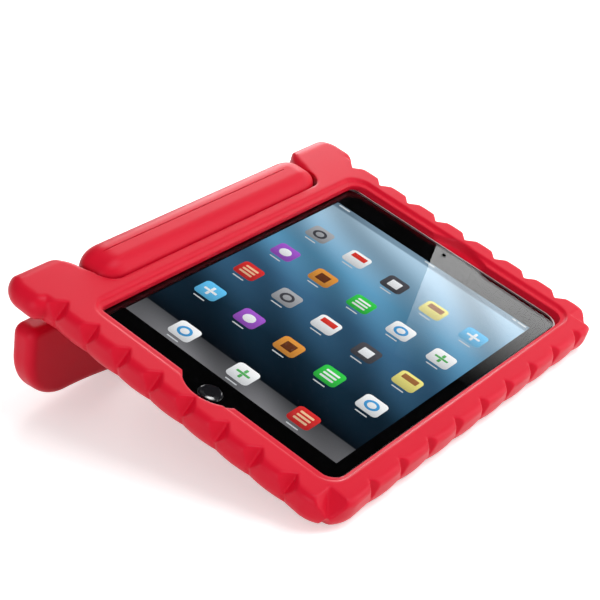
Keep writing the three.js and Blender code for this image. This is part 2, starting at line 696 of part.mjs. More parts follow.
tablet.add(mesh("tablet_back_shell", buildShell(), 0xd5d7da, 0.35, 1));
tablet.add(mesh("front_glass", buildGlass(), 0x0a0b0d, 0.06));
tablet.add(mesh("home_button", buildHomeButton(), 0x141518, 0.25));
const display = box(DISPLAY_X0, DISPLAY_X1, -DISPLAY_HALF_Y, DISPLAY_HALF_Y, DISPLAY_LOW, DISPLAY_TOP);
const homeSwitch = barrel(HOME_X, 0, SWITCH_R, SWITCH_TOP - SWITCH_HIGH, SWITCH_TOP, 24);
const frontEye = barrel(CAMERA_X, 0, CAMERA_R, DISPLAY_LOW, DISPLAY_TOP);
const rearEye = barrel(
  REAR_CAMERA_X, REAR_CAMERA_Y, REAR_CAMERA_R, -SHELL_DEEP - REAR_CAMERA_PROUD, INSIDE_TOP - FIT_GAP
);
const battery = box(BATTERY_X0, BATTERY_X1, -BATTERY_HALF_Y, BATTERY_HALF_Y, INSIDE_LOW, INSIDE_TOP);
const board = box(BOARD_X0, DISPLAY_X1, BOARD_Y0, DISPLAY_HALF_Y, INSIDE_LOW, INSIDE_TOP);
const speaker = (y) => box(
  SPEAKER_X0, SPEAKER_X0 + SPEAKER_WIDE, y - SPEAKER_LONG / 2, y + SPEAKER_LONG / 2, INSIDE_LOW,
  INSIDE_TOP + SPEAKER_RISE
);
const socketLow = SOCKET_Z - SOCKET_HIGH / 2;
const socket = box(
  INNER_X0, INNER_X0 + SOCKET_LONG, -SOCKET_WIDE / 2, SOCKET_WIDE / 2, socketLow, socketLow + SOCKET_HIGH
);
const jack = cylinderX(JACK_R, INNER_X1 - FIT_GAP - JACK_LONG, INNER_X1 - FIT_GAP, JACK_Y, JACK_Z, 24);
tablet.add(mesh("home_button_switch", homeSwitch, 0xc0c3c8, 0.35, 1));
tablet.add(mesh("display_panel", display, 0x1e4a6e, 0.3));
tablet.add(mesh("front_camera", frontEye, 0x101114, 0.2));
tablet.add(mesh("rear_camera", rearEye, 0x131417, 0.2));
tablet.add(mesh("volume_up_button", edgeButton(VOLUME_UP_X, VOLUME_LONG), 0xc9ccd0, 0.35, 1));
tablet.add(mesh("volume_down_button", edgeButton(VOLUME_DOWN_X, VOLUME_LONG), 0xc9ccd0, 0.35, 1));
tablet.add(mesh("mute_switch", edgeButton(MUTE_X, MUTE_LONG), 0xc9ccd0, 0.35, 1));
tablet.add(mesh("sleep_button", buildSleepButton(), 0xc9ccd0, 0.35, 1));
tablet.add(mesh("battery", battery, 0x24262a, 0.7));
tablet.add(mesh("logic_board", board, 0x0e5a34, 0.55));
tablet.add(mesh("speaker_left", speaker(-SPEAKER_Y), 0x2e3034, 0.6));
tablet.add(mesh("speaker_right", speaker(SPEAKER_Y), 0x2e3034, 0.6));
tablet.add(mesh("charging_connector", socket, 0x8d9096, 0.35, 1));
tablet.add(mesh("headphone_jack", jack, 0x8d9096, 0.35, 1));

tilted.add(caseGroup);
tilted.add(handleGroup);
tilted.add(tablet);
tilted.rotation.x = (TILT_DEG * Math.PI) / 180;
root.add(tilted);

// Stand the lowest point on z = 0 and centre the plan on the origin
root.updateMatrixWorld(true);
const bounds = new THREE.Box3().setFromObject(root, true);
tilted.position.set(
  -(bounds.min.x + bounds.max.x) / 2,
  -(bounds.min.y + bounds.max.y) / 2,
  -bounds.min.z
);
root.updateMatrixWorld(true);

export default root;
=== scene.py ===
"""Kids tablet case with a swivel handle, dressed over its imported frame."""

import logging
import math
from dataclasses import dataclass, field
from enum import Enum
from typing import Iterable, Sequence

import bmesh
import bpy
from mathutils import Euler, Matrix, Vector


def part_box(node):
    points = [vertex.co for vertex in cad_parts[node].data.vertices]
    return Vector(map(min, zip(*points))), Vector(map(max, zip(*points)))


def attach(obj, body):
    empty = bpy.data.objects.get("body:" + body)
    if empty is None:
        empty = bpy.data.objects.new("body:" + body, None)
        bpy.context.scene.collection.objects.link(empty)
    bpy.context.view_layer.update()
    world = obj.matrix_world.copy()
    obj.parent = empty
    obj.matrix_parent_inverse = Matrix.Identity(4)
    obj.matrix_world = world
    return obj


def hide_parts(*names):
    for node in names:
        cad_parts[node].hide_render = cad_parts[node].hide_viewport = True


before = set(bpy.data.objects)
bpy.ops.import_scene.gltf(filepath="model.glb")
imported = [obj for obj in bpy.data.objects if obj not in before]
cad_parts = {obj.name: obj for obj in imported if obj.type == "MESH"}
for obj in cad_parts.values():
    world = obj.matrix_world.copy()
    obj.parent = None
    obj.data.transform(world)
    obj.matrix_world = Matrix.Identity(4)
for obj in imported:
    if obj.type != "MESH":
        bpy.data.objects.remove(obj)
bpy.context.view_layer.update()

LOG = logging.getLogger("tablet_case")
MM = 0.001
# Edges that turn by more than this stay crisp
CRISP = math.radians(38)
# How far a cutter reaches past the face that it cuts, in millimetres
OVER = 1.0
# A length that is past every side of the object, in millimetres
FAR = 300.0
# Points closer than this are one point, in millimetres
WELD = 1e-4
# The most that a corner of an outline spreads when its sides move by 1
LONGEST_MITRE = 1.3
# Chords in a full turn, and in a quarter of corners and rims from large to small
TURN_STEPS = 96
FOOT_STEPS = 24
CORNER_STEPS = 16
RIM_STEPS = 12
WINDOW_STEPS = 10
PLAIN_STEPS = 9
FILLET_STEPS = 8
SHARP_STEPS = 6
SMALL_STEPS = 3
SCREEN_STEPS = 2
# How far the case leans back
TILT = math.radians(18.67)
# Middle of the front glass in the case's frame
GLASS_CENTRE_MM = Vector((-2.0, 0.0, -0.5))

Point = tuple[float, float]
Colour = tuple[float, float, float]


# Frames and outlines


def case_frame() -> Matrix:
    """Give the leaning frame of the case: x runs along it, y up to the handle and z out of the glass.

    Returns:
        The matrix from that frame, in millimetres, to the row frame in metres.
    """
    low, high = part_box("front_glass")
    turn = Matrix.Rotation(TILT, 4, "X") @ Matrix.Scale(MM, 4)
    centre = (low + high) / 2
    return Matrix.Translation(centre - turn @ GLASS_CENTRE_MM) @ turn


def arc(x: float, y: float, radius: float, start: float, stop: float, steps: int) -> list[Point]:
    """Give the points of an arc round x and y, from the start to the stop in degrees, in so many steps."""
    angles = [math.radians(start + (stop - start) * i / steps) for i in range(steps + 1)]
    return [(x + radius * math.cos(a), y + radius * math.sin(a)) for a in angles]


def quarter(steps: int) -> list[float]:
    """Give the angles of a quarter turn, in radians, with its two ends."""
    return [math.pi / 2 * i / steps for i in range(steps + 1)]


def rounded_rect(
    x0: float, x1: float, y0: float, y1: float, radius: float, steps: int = PLAIN_STEPS
) -> list[Point]:
    """Give a rectangle with round corners, anticlockwise.

    Args:
        x0: Low side along x.
        x1: High side along x.
        y0: Low side along y.
        y1: High side along y.
        radius: Corner radius.
        steps: Chords in each corner.

    Returns:
        The outline's points.
    """
    r = radius
    corners = ((x1 - r, y1 - r, 0), (x0 + r, y1 - r, 90), (x0 + r, y0 + r, 180), (x1 - r, y0 + r, 270))
    return [p for x, y, a in corners for p in arc(x, y, r, a, a + 90, steps)]


def grown(points: Sequence[Point], distance: float) -> list[Point]:
    """Move each point of an anticlockwise outline outwards.

    Args:
        points: The outline.
        distance: How far the sides move, inwards if it is negative.

    Returns:
        The new outline, with as many points.
    """
    result = []
    count = len(points)
    for i, here in enumerate(points):
        before = Vector(here) - Vector(points[i - 1])
        after = Vector(points[(i + 1) % count]) - Vector(here)
        sides = [Vector((d.y, -d.x)).normalized() for d in (before, after)]
        middle = (sides[0] + sides[1]).normalized()
        facing = middle.dot(sides[0])
        spread = 1 / facing if facing * LONGEST_MITRE > 1 else LONGEST_MITRE
        result.append(tuple(Vector(here) + middle * distance * spread))
    return result


# Solids


class Axis(Enum):
    """The way that a lofted solid rises."""

    UP = Matrix.Identity(3)
    ALONG = Matrix(((0, 0, 1), (1, 0, 0), (0, 1, 0)))


def loft(rings: Iterable[tuple[Sequence[Point], float]], axis: Axis = Axis.UP) -> bmesh.types.BMesh:
    """Bridge a stack of outlines into one closed solid.

    Args:
        rings: Outlines with equal numbers of points, each with its height.
        axis: The way that the stack rises.

    Returns:
        The solid, with its faces pointing out.
    """
    bm = bmesh.new()
    turn = axis.value
    below = None
    for outline, height in rings:
        verts = [bm.verts.new(turn @ Vector((x, y, height))) for x, y in outline]
        edges = [bm.edges.new((verts[i - 1], verts[i])) for i in range(len(verts))]
        if below is None:
            bm.faces.new(verts)
        else:
            bmesh.ops.bridge_loops(bm, edges=below + edges)
        below = edges
        last = verts
    bm.faces.new(last)
    bmesh.ops.recalc_face_normals(bm, faces=bm.faces)
    return bm


def slab(
    outline: Sequence[Point], low: float, high: float, under: float = 0, over: float = 0,
    steps: int = FILLET_STEPS,
) -> bmesh.types.BMesh:
    """Make a flat solid with rounded rims.

    Args:
        outline: Its plan, anticlockwise.
        low: Height of its underside.
        high: Height of its top.
        under: Radius of the lower rim, or 0.
        over: Radius of the upper rim, or 0.
        steps: Chords in each rim.

    Returns:
        The solid.
    """
    rings = []
    for a in quarter(steps)[:-1] if under else ():
        rings.append((grown(outline, under * (math.sin(a) - 1)), low + under * (1 - math.cos(a))))
    rings += [(outline, low + under), (outline, high - over)]
    for a in quarter(steps)[1:] if over else ():
        rings.append((grown(outline, over * (math.cos(a) - 1)), high - over * (1 - math.sin(a))))
    return loft(rings)


def cone(
    x: float, y: float, low: float, high: float, low_radius: float, high_radius: float
) -> bmesh.types.BMesh:
    """Make an upright cone or cylinder.

    Args:
        x: Its axis along x.
        y: Its axis along y.
        low: Height of its base.
        high: Height of its top.
        low_radius: Radius of its base.
        high_radius: Radius of its top.

    Returns:
        The solid.
    """
    bm = bmesh.new()
    place = Matrix.Translation((x, y, (low + high) / 2))
    bmesh.ops.create_cone(
        bm, cap_ends=True, segments=TURN_STEPS, radius1=low_radius, radius2=high_radius,
        depth=high - low, matrix=place,
    )
    return bm


def block(x0: float, x1: float, y0: float, y1: float, z0: float, z1: float) -> bmesh.types.BMesh:
    """Make a plain block.

    Args:
        x0: Low side along x.
        x1: High side along x.
        y0: Low side along y.
        y1: High side along y.
        z0: Underside.
        z1: Top.

    Returns:
        The solid.
    """
    bm = bmesh.new()
    size = Vector((x1 - x0, y1 - y0, z1 - z0))
    centre = Vector((x0 + x1, y0 + y1, z0 + z1)) / 2
    place = Matrix.Translation(centre) @ Matrix.Diagonal((*size, 1))
    bmesh.ops.create_cube(bm, size=1, matrix=place)
    return bm


def turned(profile: Sequence[Point], y: float, z: float) -> bmesh.types.BMesh:
    """Spin a profile round a line that runs along x.

    Args:
        profile: Points of (place along x, radius), from the line and back to it.
        y: Where the line lies along y.
        z: Where the line lies along z.

    Returns:
        The solid.
    """
    bm = bmesh.new()
    verts = [bm.verts.new((x, y + r, z)) for x, r in profile]
    edges = [bm.edges.new(pair) for pair in zip(verts, verts[1:])]
    bmesh.ops.spin(
        bm, geom=verts + edges, cent=(0, y, z), axis=(1, 0, 0), angle=math.tau, steps=TURN_STEPS,
        use_merge=True,
    )
    bmesh.ops.remove_doubles(bm, verts=bm.verts, dist=WELD)
    bmesh.ops.recalc_face_normals(bm, faces=bm.faces)
    return bm


def joined(parts: Iterable[bmesh.types.BMesh]) -> bmesh.types.BMesh:
    """Put several solids in one mesh.

    Args:
        parts: The solids, which are used up.

    Returns:
        One bmesh with all of them.
    """
    whole = bmesh.new()
    for part in parts:
        mesh = bpy.data.meshes.new("part")
        part.to_mesh(mesh)
        part.free()
        whole.from_mesh(mesh)
        bpy.data.meshes.remove(mesh)
    return whole


def piece(name: str, bm: bmesh.types.BMesh, place: Matrix, smooth: bool = True) -> bpy.types.Object:
    """Make a scene object of a solid, with its place in its mesh.

    Args:
        name: The object's name.
        bm: The solid, which is used up.
        place: Where it goes.
        smooth: Whether its faces are shaded smooth.

    Returns:
        The object.
    """
    bmesh.ops.transform(bm, matrix=place, verts=bm.verts)
    mesh = bpy.data.meshes.new(name)
    for face in bm.faces:
        face.smooth = smooth
    bm.to_mesh(mesh)
    bm.free()
    made = bpy.data.objects.new(name, mesh)
    bpy.context.scene.collection.objects.link(made)
    return made


class Carve(Enum):
    """What a second solid does to a moulding."""

    JOIN = "UNION"
    CUT = "DIFFERENCE"
    KEEP = "INTERSECT"


@dataclass
class Carving:
    """A solid that is joined with, cut by or kept inside other solids.

    Attributes:
        name: Name of the finished piece.
        steps: The first solid's object and the tools' objects.
    """

    name: str
    steps: list[bpy.types.Object] = field(default_factory=list)

    def start(self, bm: bmesh.types.BMesh) -> None:
        """Set the first solid."""
        self.steps = [piece(self.name + "_blank", bm, Matrix.Identity(4))]

    def carve(self, bm: bmesh.types.BMesh, how: Carve) -> None:
        """Join, cut or keep by another solid.

        Args:
            bm: The other solid.
            how: What it does.
        """
        tool = piece(f"{self.name}_tool_{len(self.steps)}", bm, Matrix.Identity(4))
        self.steps.append(tool)
        step = self.steps[0].modifiers.new(how.name, "BOOLEAN")
        step.operation = how.value
        step.object = tool
        step.solver = "MANIFOLD"

    def shape(self) -> bmesh.types.BMesh:
        """Take the carved solid out of the objects that made it.

        Returns:
            The solid.
        """
        shown = self.steps[0].evaluated_get(bpy.context.evaluated_depsgraph_get())
        mesh = bpy.data.meshes.new_from_object(shown)
        bm = bmesh.new()
        bm.from_mesh(mesh)
        bpy.data.meshes.remove(mesh)
        for step in self.steps:
            bpy.data.objects.remove(step)
        return bm

    def finish(self, place: Matrix) -> bpy.types.Object:
        """Put the carved solid in its place.

        Args:
            place: The matrix to the row frame.

        Returns:
            The finished piece, with crisp edges kept.
        """
        made = piece(self.name, self.shape(), place)
        made.data.set_sharp_from_angle(angle=CRISP)
        LOG.info("%s has %d faces", self.name, len(made.data.polygons))
        return made


@dataclass
class FoamMoulding(Carving):
    """One foam moulding, carved from solids and then softened all over.

    Attributes:
        grain_mm: Size of the mesh that the solids are remade in.
        softening: Passes of smoothing.
        soft_share: How far each pass moves a point to the middle of its neighbours.
        keep_share: Share of the triangles that stay.
        seams: Cutters of thin seams, which the softening would lose.
    """

    grain_mm: float = 0.6
    softening: int = 2
    soft_share: float = 0.5
    keep_share: float = 0.28
    seams: list[bmesh.types.BMesh] = field(default_factory=list)

    def shape(self) -> bmesh.types.BMesh:
        """Soften the carved solid and cut its seams.

        Returns:
            The solid.
        """
        blank = self.steps[0]
        remesh = blank.modifiers.new("grain", "REMESH")
        remesh.mode = "VOXEL"
        remesh.voxel_size = self.grain_mm
        smooth = blank.modifiers.new("softening", "SMOOTH")
        smooth.factor = self.soft_share
        smooth.iterations = self.softening
        thin = blank.modifiers.new("thin", "DECIMATE")
        thin.ratio = self.keep_share
        soft = super().shape()
        if not self.seams:
            return soft
        seamed = Carving(self.name + "_seamed")
        seamed.start(soft)
        for seam in self.seams:
            seamed.carve(seam, Carve.CUT)
        return seamed.shape()


# Materials


class Nodes:
    """The nodes of a material, a group or the world, added one at a time."""

    def __init__(self, tree: bpy.types.NodeTree) -> None:
        """Start from a tree of nodes."""
        self.tree = tree

    def feed(self, value: object, target: bpy.types.NodeSocket) -> None:
        """Link a socket to an input, or set the input.

        Args:
            value: A socket, a number, a vector, or a colour without its alpha.
            target: The input.
        """
        if isinstance(value, bpy.types.NodeSocket):
            self.tree.links.new(value, target)
        elif target.type == "RGBA":
            target.default_value = (*value, 1)
        else:
            target.default_value = value

    def add(self, kind: str, **settings: object) -> bpy.types.Node:
        """Add a node.

        Args:
            kind: Its type, without the ShaderNode before it.
            settings: Its properties, and its inputs by name with in_ before them and _ for each space.

        Returns:
            The node.
        """
        node = self.tree.nodes.new("ShaderNode" + kind)
        for name, value in settings.items():
            if name.startswith("in_"):
                self.feed(value, node.inputs[name[3:].replace("_", " ")])
            else:
                setattr(node, name, value)
        return node

    def math(self, operation: str, *values: object, clamp: bool = False) -> bpy.types.NodeSocket:
        """Add a sum.

        Args:
            operation: The Math node's operation.
            values: Its sockets or numbers.
            clamp: Whether the result stays between 0 and 1.

        Returns:
            The result's socket.
        """
        node = self.add("Math", operation=operation, use_clamp=clamp)
        for value, target in zip(values, node.inputs):
            self.feed(value, target)
        return node.outputs[0]

    def blend(self, share: object, first: object, second: object) -> bpy.types.NodeSocket:
        """Mix two colours.

        Args:
            share: A socket or a number, 0 for the first colour.
            first: A socket or a colour.
            second: A socket or a colour.

        Returns:
            The colour's socket.
        """
        node = self.add("Mix", data_type="RGBA")
        for value, place in ((share, 0), (first, 6), (second, 7)):
            self.feed(value, node.inputs[place])
        return node.outputs[2]


def shaded(name: str, **inputs: object) -> tuple[bpy.types.Material, Nodes, bpy.types.Node]:
    """Make a material, with plain values on its shader's own sockets.

    Args:
        name: The material's name.
        inputs: The shader's inputs by name, with _ for each space.

    Returns:
        The material, its nodes and its shader.
    """
    material = bpy.data.materials.new(name)
    material.use_nodes = True
    nodes = Nodes(material.node_tree)
    shader = material.node_tree.nodes["Principled BSDF"]
    for key, value in inputs.items():
        nodes.feed(value, shader.inputs[key.replace("_", " ")])
    return material, nodes, shader


def surface_grain() -> bpy.types.NodeTree:
    """Make the shared node group that gives a surface its fine grain and broad unevenness.

    Returns:
        The group, with Position, Grain Size, Grain Height and Unevenness going in.
    """
    found = bpy.data.node_groups.get("surface_grain")
    if found:
        return found
    group = bpy.data.node_groups.new("surface_grain", "ShaderNodeTree")
    sockets = group.interface
    sockets.new_socket("Position", in_out="INPUT", socket_type="NodeSocketVector")
    for name, start in (("Grain Size", 0.0005), ("Grain Height", 0.00003), ("Unevenness", 0.2)):
        sockets.new_socket(name, in_out="INPUT", socket_type="NodeSocketFloat").default_value = start
    sockets.new_socket("Normal", in_out="OUTPUT", socket_type="NodeSocketVector")
    sockets.new_socket("Broad", in_out="OUTPUT", socket_type="NodeSocketFloat")
    nodes = Nodes(group)
    start = group.nodes.new("NodeGroupInput")
    end = group.nodes.new("NodeGroupOutput")
    where = start.outputs["Position"]
    scale = nodes.math("DIVIDE", 1.0, start.outputs["Grain Size"])
    fine = nodes.add("TexNoise", in_Vector=where, in_Scale=scale, in_Detail=3.0, in_Roughness=0.55)
    broad = nodes.add("TexNoise", in_Vector=where, in_Scale=38.0, in_Detail=2.0, in_Roughness=0.5)
    height = start.outputs["Grain Height"]
    bump = nodes.add("Bump", in_Strength=1.0, in_Distance=height, in_Height=fine.outputs["Fac"])
    nodes.feed(bump.outputs["Normal"], end.inputs["Normal"])
    around = nodes.math("SUBTRACT", broad.outputs["Fac"], 0.5)
    nodes.feed(nodes.math("MULTIPLY", around, start.outputs["Unevenness"]), end.inputs["Broad"])
    return group


@dataclass(frozen=True)
class Finish:
    """A plain surface with its own colour, gloss and grain.

    Attributes:
        name: Name of the material.
        colour: Its colour, as linear red, green and blue.
        roughness: Its mean roughness.
        metallic: 1 for a metal.
        grain_size: Size of its grain in metres.
        grain_height: Height of its grain in metres.
        unevenness: How far its colour and gloss wander.
        coat: Weight of a clear coat.
        shine: Level of the plain reflection, 0.5 for a usual plastic.
        shine_tint: Colour of that reflection.
        wander: How much darker and lighter its colour gets.
        slot: The slot that the finish belongs to. It is not used.
    """

    name: str
    colour: Colour
    roughness: float
    metallic: float = 0.0
    grain_size: float = 0.0006
    grain_height: float = 0.00002
    unevenness: float = 0.2
    coat: float = 0.0
    shine: float = 0.5
    shine_tint: Colour = (1.0, 1.0, 1.0)
    wander: float = 0.2
    slot: str = ""

    def material(self) -> bpy.types.Material:
        """Make the material.

        Returns:
            A material whose colour wanders a little round its own.
        """
        material, nodes, shader = shaded(
            self.name, Metallic=self.metallic, Coat_Weight=self.coat, Specular_IOR_Level=self.shine,
            Specular_Tint=self.shine_tint,
        )
        grain = nodes.tree.nodes.new("ShaderNodeGroup")
        grain.node_tree = surface_grain()
        nodes.feed(nodes.add("TexCoord").outputs["Object"], grain.inputs["Position"])
        nodes.feed(self.grain_size, grain.inputs["Grain Size"])
        nodes.feed(self.grain_height, grain.inputs["Grain Height"])
        nodes.feed(self.unevenness, grain.inputs["Unevenness"])
        broad = grain.outputs["Broad"]
        rough = nodes.math("MULTIPLY_ADD", broad, self.roughness, self.roughness)
        darker = tuple(c * (1 - self.wander) for c in self.colour)
        lighter = tuple(min(1.0, c * (1 + self.wander)) for c in self.colour)
        colour = nodes.blend(nodes.math("ADD", broad, 0.5, clamp=True), darker, lighter)
        nodes.feed(grain.outputs["Normal"], shader.inputs["Normal"])
        nodes.feed(rough, shader.inputs["Roughness"])
        nodes.feed(colour, shader.inputs["Base Color"])
        return material


def dress(target: bpy.types.Object, material: bpy.types.Material) -> None:
    """Give an object one material all over."""
    target.data.materials.clear()
    target.data.materials.append(material)


@dataclass(frozen=True)
class CoverGlass:
    """Clear flat glass with faint smears.

    Attributes:
        name: Name of the material.
        clean: Roughness where it is clean.
        smeared: Roughness where fingers have been.
        ior: How strongly it bends and mirrors light. Plain glass has 1.45, but the photo's mirrors less.
    """

    name: str = "cover_glass"
    clean: float = 0.0
    smeared: float = 0.02
    ior: float = 1.3

    def material(self) -> bpy.types.Material:
        """Make the material.

        Returns:
            Glass that shows what lies under it.
        """
        material, nodes, shader = shaded(
            self.name, Base_Color=(1, 1, 1), Metallic=0.0, Transmission_Weight=1.0, IOR=self.ior
        )
        where = nodes.add("TexCoord").outputs["Object"]
        smear = nodes.add("TexNoise", in_Vector=where, in_Scale=26.0, in_Detail=3.0)
        spread = nodes.add(
            "MapRange", in_Value=smear.outputs["Fac"], in_From_Min=0.55, in_From_Max=0.8,
            in_To_Min=self.clean, in_To_Max=self.smeared,
        )
        nodes.feed(spread.outputs["Result"], shader.inputs["Roughness"])
        return material


@dataclass(frozen=True)
class LitPicture:
    """The lit screen: a plain dusk gradient along the tablet, crossed by soft slanting bands.

    Attributes:
        name: Name of the material.
        start: Low end of the picture along x, in metres.
        length: Its length along x, in metres.
        stops: Places along it from 0 to 1, each with a colour.
        band: How far the bands lighten and darken it.
        slant: How far the bands are turned, in radians.
    """

    name: str
    start: float
    length: float
    stops: tuple[tuple[float, Colour], ...]
    band: float = 0.5
    slant: float = 0.6

    def material(self) -> bpy.types.Material:
        """Make the material.

        Returns:
            A material that gives the picture's light.
        """
        material, nodes, shader = shaded(
            self.name, Base_Color=(0.002, 0.002, 0.003), Specular_IOR_Level=0.0, Emission_Strength=1.0
        )
        where = nodes.add("TexCoord").outputs["Object"]
        flat = nodes.add("Mapping", in_Vector=where, in_Rotation=(-TILT, 0, 0)).outputs["Vector"]
        apart = nodes.add("SeparateXYZ", in_Vector=flat)
        past = nodes.math("SUBTRACT", apart.outputs["X"], self.start)
        ramp = nodes.add("ValToRGB", in_Fac=nodes.math("DIVIDE", past, self.length, clamp=True))
        elements = ramp.color_ramp.elements
        for (at, colour), element in zip(self.stops, elements):
            element.position, element.color = at, (*colour, 1)
        for at, colour in self.stops[len(elements):]:
            elements.new(at).color = (*colour, 1)
        turn = nodes.add("Mapping", in_Vector=flat, in_Rotation=(0, 0, self.slant))
        waves = nodes.add(
            "TexWave", in_Vector=turn.outputs["Vector"], in_Scale=9.0, in_Distortion=5.0, in_Detail=2.0,
            in_Detail_Scale=0.6,
        )
        around = nodes.math("SUBTRACT", waves.outputs["Fac"], 0.5)
        gain = nodes.math("ADD", nodes.math("MULTIPLY", around, self.band), 1.0)
        light = nodes.add("VectorMath", operation="SCALE", in_Vector=ramp.outputs["Color"], in_Scale=gain)
        nodes.feed(light.outputs["Vector"], shader.inputs["Emission Color"])
        return material


@dataclass(frozen=True)
class LitTile:
    """The small lit tiles on the screen, each in the tint that its points carry.

    Attributes:
        name: Name of the material.
        attribute: Name of the tint on the points.
    """

    name: str = "lit_tiles"
    attribute: str = "tint"

    def material(self) -> bpy.types.Material:
        """Make the material.

        Returns:
            A material that gives each tile's own light.
        """
        material, nodes, shader = shaded(
            self.name, Base_Color=(0.01, 0.01, 0.01), Specular_IOR_Level=0.0, Emission_Strength=1.0
        )
        tint = nodes.add("Attribute", attribute_name=self.attribute)
        nodes.feed(tint.outputs["Color"], shader.inputs["Emission Color"])
        return material


FOAM = Finish(
    "red_foam", (0.63, 0.003, 0.02), 0.42, grain_size=0.0008, grain_height=0.00001, shine=0.2,
    shine_tint=(1.0, 0.8, 1.0), slot="foam",
)
DARK_PLASTIC = Finish("dark_plastic", (0.025, 0.025, 0.028), 0.5, grain_height=0.00003, slot="dark_plastic")
STEEL = Finish("plain_steel", (0.55, 0.56, 0.58), 0.32, metallic=1.0, grain_size=0.0003, slot="steel")
SHELL_METAL = Finish(
    "blasted_metal", (0.78, 0.78, 0.79), 0.36, metallic=0.25, grain_size=0.0002, grain_height=0.000004,
    unevenness=0.1, slot="shell_metal",
)
BLACK_GLOSS = Finish(
    "black_gloss", (0.008, 0.008, 0.01), 0.12, grain_height=0.000001, unevenness=0.1, coat=0.4,
    slot="black_plastic",
)
LENS = Finish("lens_glass", (0.006, 0.006, 0.012), 0.06, grain_height=0.0000005, coat=1.0, slot="lens")
BORDER_PRINT = Finish(
    "border_print", (0.0015, 0.0015, 0.002), 0.6, grain_height=0.000002, unevenness=0.1, shine=0.0,
    slot="black_plastic",
)
BOARD = Finish("green_board", (0.01, 0.12, 0.05), 0.45, grain_size=0.002, unevenness=0.8, slot="board")


@dataclass
class SubAssembly:
    """A sub-assembly that is built in the frame of the case.

    Attributes:
        place: The matrix from the case's frame, in millimetres, to the row frame.
    """

    place: Matrix


# The case


